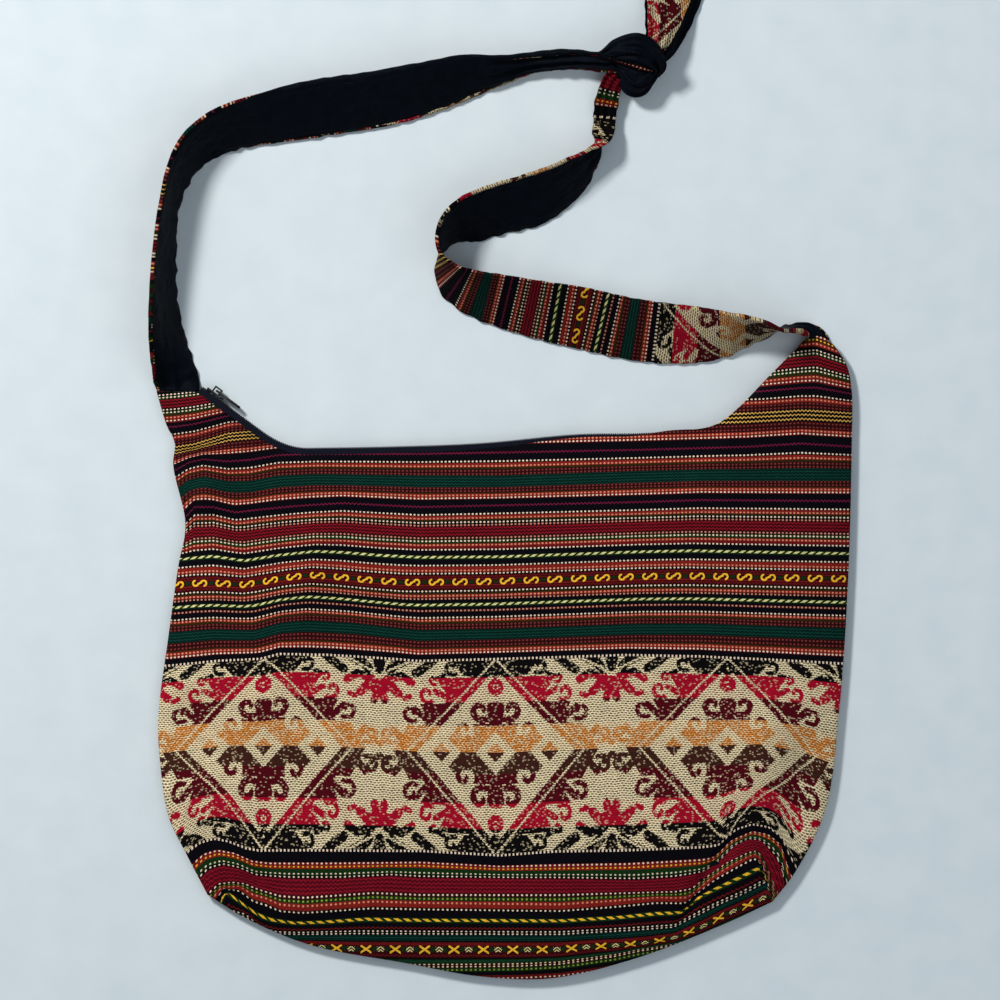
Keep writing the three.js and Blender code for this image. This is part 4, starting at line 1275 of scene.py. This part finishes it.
def strap_frames(route, rooted):
    """Sections along a strap: middle, direction across, the woven side's normal and half the width."""
    route = np.array(route, float)
    line = curve(route[:, [0, 1, 4]], SPAN_STEPS)
    lean = curve(route[:, [2, 3]], SPAN_STEPS)
    way = np.column_stack([directions(line[:, :2]), np.zeros(len(line))])
    free = smoothstep(np.arange(len(line)), 0, SPAN_STEPS)
    if rooted:
        root = (1 - free)[:, None]
        way = unit(way * (1 - root) + np.array([0, 1, 0]) * root)
    left = np.column_stack([-way[:, 1], way[:, 0], np.zeros(len(line))])
    up = np.array([0, 0, 1.0])
    roll = np.radians(lean[:, 0])
    cos, sin = np.cos(roll)[:, None], np.sin(roll)[:, None]
    half = lean[:, 1] * STRAP_WIDTH / 2
    below = LAYER_GAP + np.where(np.cos(roll) < 0, CLOTH, LINING)
    height = line[:, 2] + STRAP_REST + half * abs(np.sin(roll)) + below * abs(np.cos(roll))
    if rooted:
        height = MIDDLE * (1 - free) + height * free
    return np.column_stack([line[:, :2], height]), cos * left - sin * up, cos * up + sin * left, half


def strap_layer(name, frames, loops, material, cut):
    """A closed layer of a strap. loops holds, for each section, points as (across, along the normal),
    and cut gives the cloth's column and row for points across and along the strap, all in pixels."""
    middle, across, normal, _ = frames
    way = along(middle)
    around = loops.shape[1]
    sections = middle[:, None] + across[:, None] * loops[:, :, :1] + normal[:, None] * loops[:, :, 1:]
    sections[:, :, 2] = np.maximum(sections[:, :, 2], FLOOR_GAP)
    piece = lofted(name, sections, material)
    spots = cut(loops[:, :, 0].ravel() / PIXEL, np.repeat(way, around) / PIXEL)
    set_uv(piece, "cloth", np.column_stack(spots))
    bake = (np.tile(np.linspace(0, 1, around), len(middle)), np.repeat(way / way[-1], around))
    set_uv(piece, "OFBake", np.column_stack(bake))
    return piece


def pucker(way, size, seed):
    """Small uneven waves along a strap, one number for each section."""
    draw = np.random.default_rng(seed)
    total = 0
    for _ in range(PUCKER_WAVES):
        length = size * draw.uniform(*PUCKER_SPREAD)
        total = total + np.sin(way * 2 * math.pi / length + draw.uniform(0, WAVE_START))
    return total[:, None] / PUCKER_WAVES


def gathering(half, way, share, seed):
    """Lengthwise pleats where a strap is drawn together, and a ruffle along one edge."""
    drawn = smoothstep(1 - half / (STRAP_WIDTH / 2), *PLEAT_RANGE)[:, None]
    sway = PLEAT_SWAY[0] * pucker(way, PLEAT_SWAY[1], seed)
    ruffle = RUFFLE[0] * pucker(way, RUFFLE[1], seed + 5) * smoothstep(share, RUFFLE_START, 1)
    return drawn * PLEAT * np.sin(share * PLEAT_TURN + sway) + ruffle


def hem_widths(hems, way):
    """The hem at the edge where across is negative and at the other edge, and how far each is turned."""
    widths = [np.interp(way / way[-1], *np.transpose(hems)[[0, i]])[:, None] for i in (1, 2)]
    return widths, [np.minimum(width / FULL_HEM, 1) for width in widths]


def rolled_edge(line, inwards, hem, turn, over):
    """Three points round an edge of the cloth: its roll, its lip and the end of its hem."""
    return [
        np.dstack([line, LAYER_GAP + CLOTH * ROLL_HEIGHT + over]),
        np.dstack([line + ROLL_LIP[0] * inwards, over - (LINING + ROLL_LIP[1]) * turn]),
        np.dstack([line + (HEM_END[0] + hem) * inwards, over - (LINING + HEM_END[1]) * turn]),
    ]


def cloth_loops(half, way, hems, seed):
    """The woven layer: one face, a rolled edge at each side, and a hem turned over on the lining's side."""
    share = np.linspace(-1, 1, FACE_POINTS)[None]
    (low_hem, high_hem), (low_turn, high_turn) = hem_widths(hems, way)
    edge = pucker(way, EDGE_WAVES[1], seed + 1) * EDGE_PUCKER
    high = half[:, None] - BINDING * (1 - high_turn) + edge
    low = -half[:, None] + BINDING * (1 - low_turn) - edge
    full = (low + high) / 2 + ((high - low) / 2 - ROLL) * share
    pleats = gathering(half, way, share, seed)
    outer = np.dstack([full, LAYER_GAP + CLOTH + pleats])
    inner = np.dstack([full, LAYER_GAP + pleats])
    high_edge = rolled_edge(high, -1, high_hem, high_turn, pleats[:, -1:])
    low_edge = rolled_edge(low, 1, low_hem, low_turn, pleats[:, :1])
    return np.concatenate([outer, *high_edge, inner[:, ::-1], *low_edge[::-1]], axis=1)


def lining_loops(half, way, hems, seed):
    """The cotton layer: inside the hems, or turned over the edge where there is none, and crumpled."""
    share = np.linspace(-1, 1, FACE_POINTS)[None]
    _, (low, high) = hem_widths(hems, way)
    inset = np.where(share > 0, high, low)
    waves = np.where(share > 0, *(pucker(way, size, seed + i) for i, size in enumerate(EDGE_WAVES)))
    edge = (1 + waves) * EDGE_PUCKER * (1 - CALM_HEM * inset) * abs(share) ** EDGE_POWER
    full = (half[:, None] - STRAP_BORDER * LINING_INSET * inset + edge) * share
    pleats = gathering(half, way, share, seed - 20)
    x = np.repeat(way[:, None], FACE_POINTS, axis=1)
    crumple = sum(tall * ripple(x, full * wide, size, seed + more) for tall, wide, size, more in CRUMPLES)
    ties = np.sin(way * 2 * math.pi / TIE_PITCH)[:, None] * TIE_HEIGHT * smoothstep(abs(share), *TIE_RANGE)
    crumple = (crumple * CRUMPLE - CRUMPLE_OFF + ties) * (1 - share**FLAT_POWER)
    over = full + OVERLAP * (1 - inset) * share**OVERLAP_POWER
    near = np.dstack([full, -LAYER_GAP + pleats + np.minimum(crumple, 0) * CRUMPLE_INSIDE])
    far = np.dstack([over, -LAYER_GAP - LINING + pleats + np.minimum(crumple, CRUMPLE_DENT)])

    def turned(column, kept):
        """The edge at one side: its inner and its outer point, over the cloth where no hem is kept."""
        top = LAYER_GAP + CLOTH + OVER_CLOTH
        inner = kept * (IN_HEM - LAYER_GAP) + (1 - kept) * top + pleats[:, [column]]
        outer = kept * (-LAYER_GAP - LINING / 2) + (1 - kept) * top + pleats[:, [column]]
        return np.dstack([full[:, [column]], inner]), np.dstack([over[:, [column]], outer])

    high_in, high_out = turned(-1, high)
    low_in, low_out = turned(0, low)
    return np.concatenate([near, high_in, high_out, far[:, ::-1], low_out, low_in], axis=1)


def cut_across(stops):
    """Cloth whose rows run across a strap, from stops: millimetres along it, row and middle column."""
    distance, row, column = np.transpose(stops)
    return lambda across, way: (
        across + np.interp(way * PIXEL, distance, column), np.interp(way * PIXEL, distance, row),
    )


def cut_along(across, way):
    """Cloth whose rows run along a tail, a little aslant."""
    s = way - TAIL_PLACE[0]
    t = across - TAIL_PLACE[1]
    cos, sin = math.cos(TAIL_SLANT), math.sin(TAIL_SLANT)
    return TAIL_CUT[0] + s * cos + t * sin, TAIL_CUT[1] + s * sin - t * cos


def route_distance(route, index):
    """Distance along a route to one of its points."""
    line = curve(np.array(route, float)[:, [0, 1]], SPAN_STEPS)
    return along(line)[index * SPAN_STEPS]


def build_strap(name, route, cut, hems, seed, rooted=False, hidden=0):
    """A strap of two layers. hidden is the number of sections inside the knot that are left out."""
    frames = [part[:len(part) - hidden] for part in strap_frames(route, rooted)]
    way = along(frames[0])
    half = frames[3]
    cloth = strap_layer(f"{name}_woven", frames, cloth_loops(half, way, hems, seed), WOVEN, cut)
    # painted shade: the woven side is darkened as if it lay in shadow
    cloth.color = (STRAP_PAINTED_SHADE, STRAP_PAINTED_SHADE, STRAP_PAINTED_SHADE, 1)
    finish_piece(cloth, "bag", f"{name}_cloth")
    plain = cut_across([(0, 0, STRAP_COLUMN), (LONG, LONG / PIXEL, STRAP_COLUMN)])
    lining = strap_layer(f"{name}_cotton", frames, lining_loops(half, way, hems, seed + 20), COTTON, plain)
    finish_piece(lining, "bag", f"{name}_lining")


def build_straps():
    wraps, edging = build_knot()
    points = (BAND_POINT, BEND_POINT, TWIST_POINT, KNOT_POINT)
    band, bend, twist, knot = (route_distance(RIGHT_ROUTE, point) for point in points)
    band += BAND_SHIFT
    right = cut_across([
        (0, BAND_TOP + band / PIXEL, STRAP_COLUMN), (bend, BAND_TOP - (bend - band) / PIXEL, STRAP_COLUMN),
        (bend + SEAM, BAND_BOTTOM, BEND_COLUMN), (twist, BAND_BOTTOM - (twist - bend) / PIXEL, BEND_COLUMN),
        (twist + SEAM, KNOT_ROW, STRAP_COLUMN), (knot, KNOT_ROW + (knot - twist) / PIXEL, STRAP_COLUMN),
    ])
    build_strap("strap_right", RIGHT_ROUTE, right, RIGHT_HEMS, seed=31, rooted=True, hidden=HIDDEN)
    left = cut_across([
        (0, BAND_TOP - LEFT_BAND / PIXEL, LEFT_COLUMN),
        (2 * LEFT_BAND, BAND_TOP + LEFT_BAND / PIXEL, LEFT_COLUMN),
    ])
    build_strap("strap_left", LEFT_ROUTE, left, LEFT_HEMS, seed=41, rooted=True, hidden=HIDDEN)
    build_strap("tail_upper", UPPER_TAIL, cut_along, TAIL_HEMS, seed=51)
    build_strap("tail_lower", LOWER_TAIL, cut_along, TAIL_HEMS, seed=61)


# The knot: wraps of the lined strap, each along stations in photograph pixels with the height of its
# middle, half its width and half its depth in millimetres
KNOT_OVER = [
    (597, 59, 10, 2.6, 3.4), (604, 57, 13, 3.2, 5), (611, 54.5, 15.5, 4.6, 7), (618, 52, 17.5, 6.6, 8.6),
    (628, 51, 18.8, 8.4, 9.6), (638, 51.5, 19, 9, 9.8), (648, 56.5, 17, 7.8, 9.4),
    (655.5, 64, 12, 4.9, 8.4), (656, 72, 7, 3.2, 5),
]
KNOT_UNDER = [
    (607, 61, 8, 2.6, 4), (615, 66, 9, 3.6, 6), (625, 73, 9.4, 5.6, 7.6), (636, 82, 9.4, 9.2, 7.8),
    (645.5, 78, 9.4, 6.2, 7.6), (653, 70, 9, 4.2, 6), (655, 62, 7, 3, 4.5),
]
KNOT_EDGE = [
    (599, 58.5, 13.5, 0.5, 0.8), (605, 59.5, 16, 1, 1.5), (613, 61.5, 17.6, 1.2, 1.7),
    (623, 65, 18.4, 1.1, 1.8), (634, 68.5, 18.8, 1, 1.8), (642, 71, 18.4, 0.9, 1.6),
    (648, 72.5, 17, 0.7, 1.2), (652, 73, 15, 0.4, 0.8),
]
# Creases along a wrap: the angle round it in degrees, how much that turns on the way, and the depth
OVER_CREASES = [(28, 22, 0.16), (60, -20, 0.2), (90, 26, 0.17), (120, -20, 0.22), (150, 12, 0.16)]
UNDER_CREASES = [(45, 20, 0.14), (85, -24, 0.16), (120, 26, 0.18), (152, -16, 0.16)]
WRAP_SIDES = 72
WRAP_STEPS = 14
WRAP_FLOOR = 0.3  # least height over the surface
CREASE_WIDTH = 0.13
CREASE_LIP = (2.2, 0.5)  # beside a crease: its distance in widths, and its height for the depth
BOXY = 0.86  # under 1, a section is squarer than an ellipse
EDGING_ROW = 537.6  # the dotted row that shows at the knot
EDGING_REACH = 1.4


def boxed(wave):
    """A sine or cosine with fuller lobes."""
    return np.sign(wave) * abs(wave) ** BOXY


def knot_wrap(name, stations, creases, material):
    """A tube of gathered cloth that swells and narrows along its stations."""
    route = curve(stations, WRAP_STEPS)
    path = np.column_stack([place(route[:, :2]), route[:, 2]])
    way = directions(path)
    side = unit(np.cross((0, 0, 1.0), way))
    up = np.cross(way, side)
    turn = np.arange(WRAP_SIDES) * 2 * math.pi / WRAP_SIDES
    distance = along(path)
    share = (distance / distance[-1])[:, None]
    fold = np.ones((len(path), WRAP_SIDES))
    for angle, drift, depth in creases:
        off = turn[None] - np.radians(angle + drift * (share - 0.5) * 2)
        fold -= depth * np.exp(-((off / CREASE_WIDTH) ** 2))
        fold += depth * CREASE_LIP[1] * np.exp(-((off / CREASE_WIDTH - CREASE_LIP[0]) ** 2))
    wide = boxed(np.cos(turn)) * route[:, 3:4] * fold
    high = boxed(np.sin(turn)) * route[:, 4:5] * fold
    sections = path[:, None] + side[:, None] * wide[:, :, None] + up[:, None] * high[:, :, None]
    sections[:, :, 2] = np.maximum(sections[:, :, 2], WRAP_FLOOR)
    piece = lofted(name, sections, material)
    rows = EDGING_ROW + np.tile(np.cos(turn) * EDGING_REACH, len(path))
    set_uv(piece, "cloth", np.column_stack([np.repeat(distance, WRAP_SIDES) / PIXEL, rows]))
    bake = (np.repeat(share[:, 0], WRAP_SIDES), np.tile(turn / (2 * math.pi), len(path)))
    set_uv(piece, "OFBake", np.column_stack(bake))
    finish_piece(piece, "bag", "strap_knot")
    return piece


def build_knot():
    """The overhand knot: one wrap over the other, and the woven edge that shows between them."""
    over = knot_wrap("knot_over", KNOT_OVER, OVER_CREASES, COTTON)
    under = knot_wrap("knot_under", KNOT_UNDER, UNDER_CREASES, COTTON)
    edging = knot_wrap("knot_edging", KNOT_EDGE, [], WOVEN)
    return [over, under], edging


# The stage, in metres

FLOOR_SIZE = 6.0
CAMERA_HEIGHT = 3.6
SENSOR = 36
VIEW_WIDTH = 0.57
VIEW_CENTRE = (-0.00285, 0.08835)
LAMPS = [  # name, place, size, power and colour
    ("key", (-0.9, 1.1, 1.35), 0.3, 33, (1.0, 0.97, 0.93)),
    ("fill", (0.9, -0.5, 1.7), 1.8, 8, (0.92, 0.96, 1.0)),
]
LAMP_AIM = (0, 0.08, 0)
SKY = (0.86, 0.92, 1.0)
SKY_STRENGTH = 0.3


def pale_floor():
    shader = Shader("pale_floor", roughness=0.9)
    mottle = shader.noise(260.0, 3.0)
    broad = shader.noise(5.0)
    blend = (mottle * 0.6 + broad * 0.4).clamp()
    shader.set("Base Color", shader.mix(blend, dye("floor"), dye("floor_pale")))
    shader.bump(mottle, distance=0.6 * MM, strength=0.35)
    return shader.material


def build_stage():
    scene = bpy.context.scene
    half = FLOOR_SIZE / 2 / MM
    corners = [(-half, -half, 0), (half, -half, 0), (half, half, 0), (-half, half, 0)]
    floor = new_piece("floor", corners, [(0, 1, 2, 3)], pale_floor(), closed=False)

    camera = bpy.data.objects.new("camera", bpy.data.cameras.new("camera"))
    camera.location = (*VIEW_CENTRE, CAMERA_HEIGHT)
    camera.data.sensor_width = SENSOR
    camera.data.lens = SENSOR * CAMERA_HEIGHT / VIEW_WIDTH
    scene.collection.objects.link(camera)
    scene.camera = camera

    for name, spot, size, power, tint in LAMPS:
        lamp = bpy.data.objects.new(name, bpy.data.lights.new(name, "AREA"))
        lamp.data.size = size
        lamp.data.energy = power
        lamp.data.color = tint
        lamp.location = spot
        x, y, z = np.subtract(LAMP_AIM, spot)
        lamp.rotation_euler = (math.atan2(math.hypot(x, y), -z), 0, math.atan2(y, x) - math.pi / 2)
        scene.collection.objects.link(lamp)

    world = bpy.data.worlds.new("sky")
    world.use_nodes = True
    sky = world.node_tree.nodes["Background"]
    sky.inputs[0].default_value = (*SKY, 1)
    sky.inputs[1].default_value = SKY_STRENGTH
    scene.world = world
    scene.view_settings.view_transform = "Standard"


build_stage()
build_body()
build_zip()
build_straps()
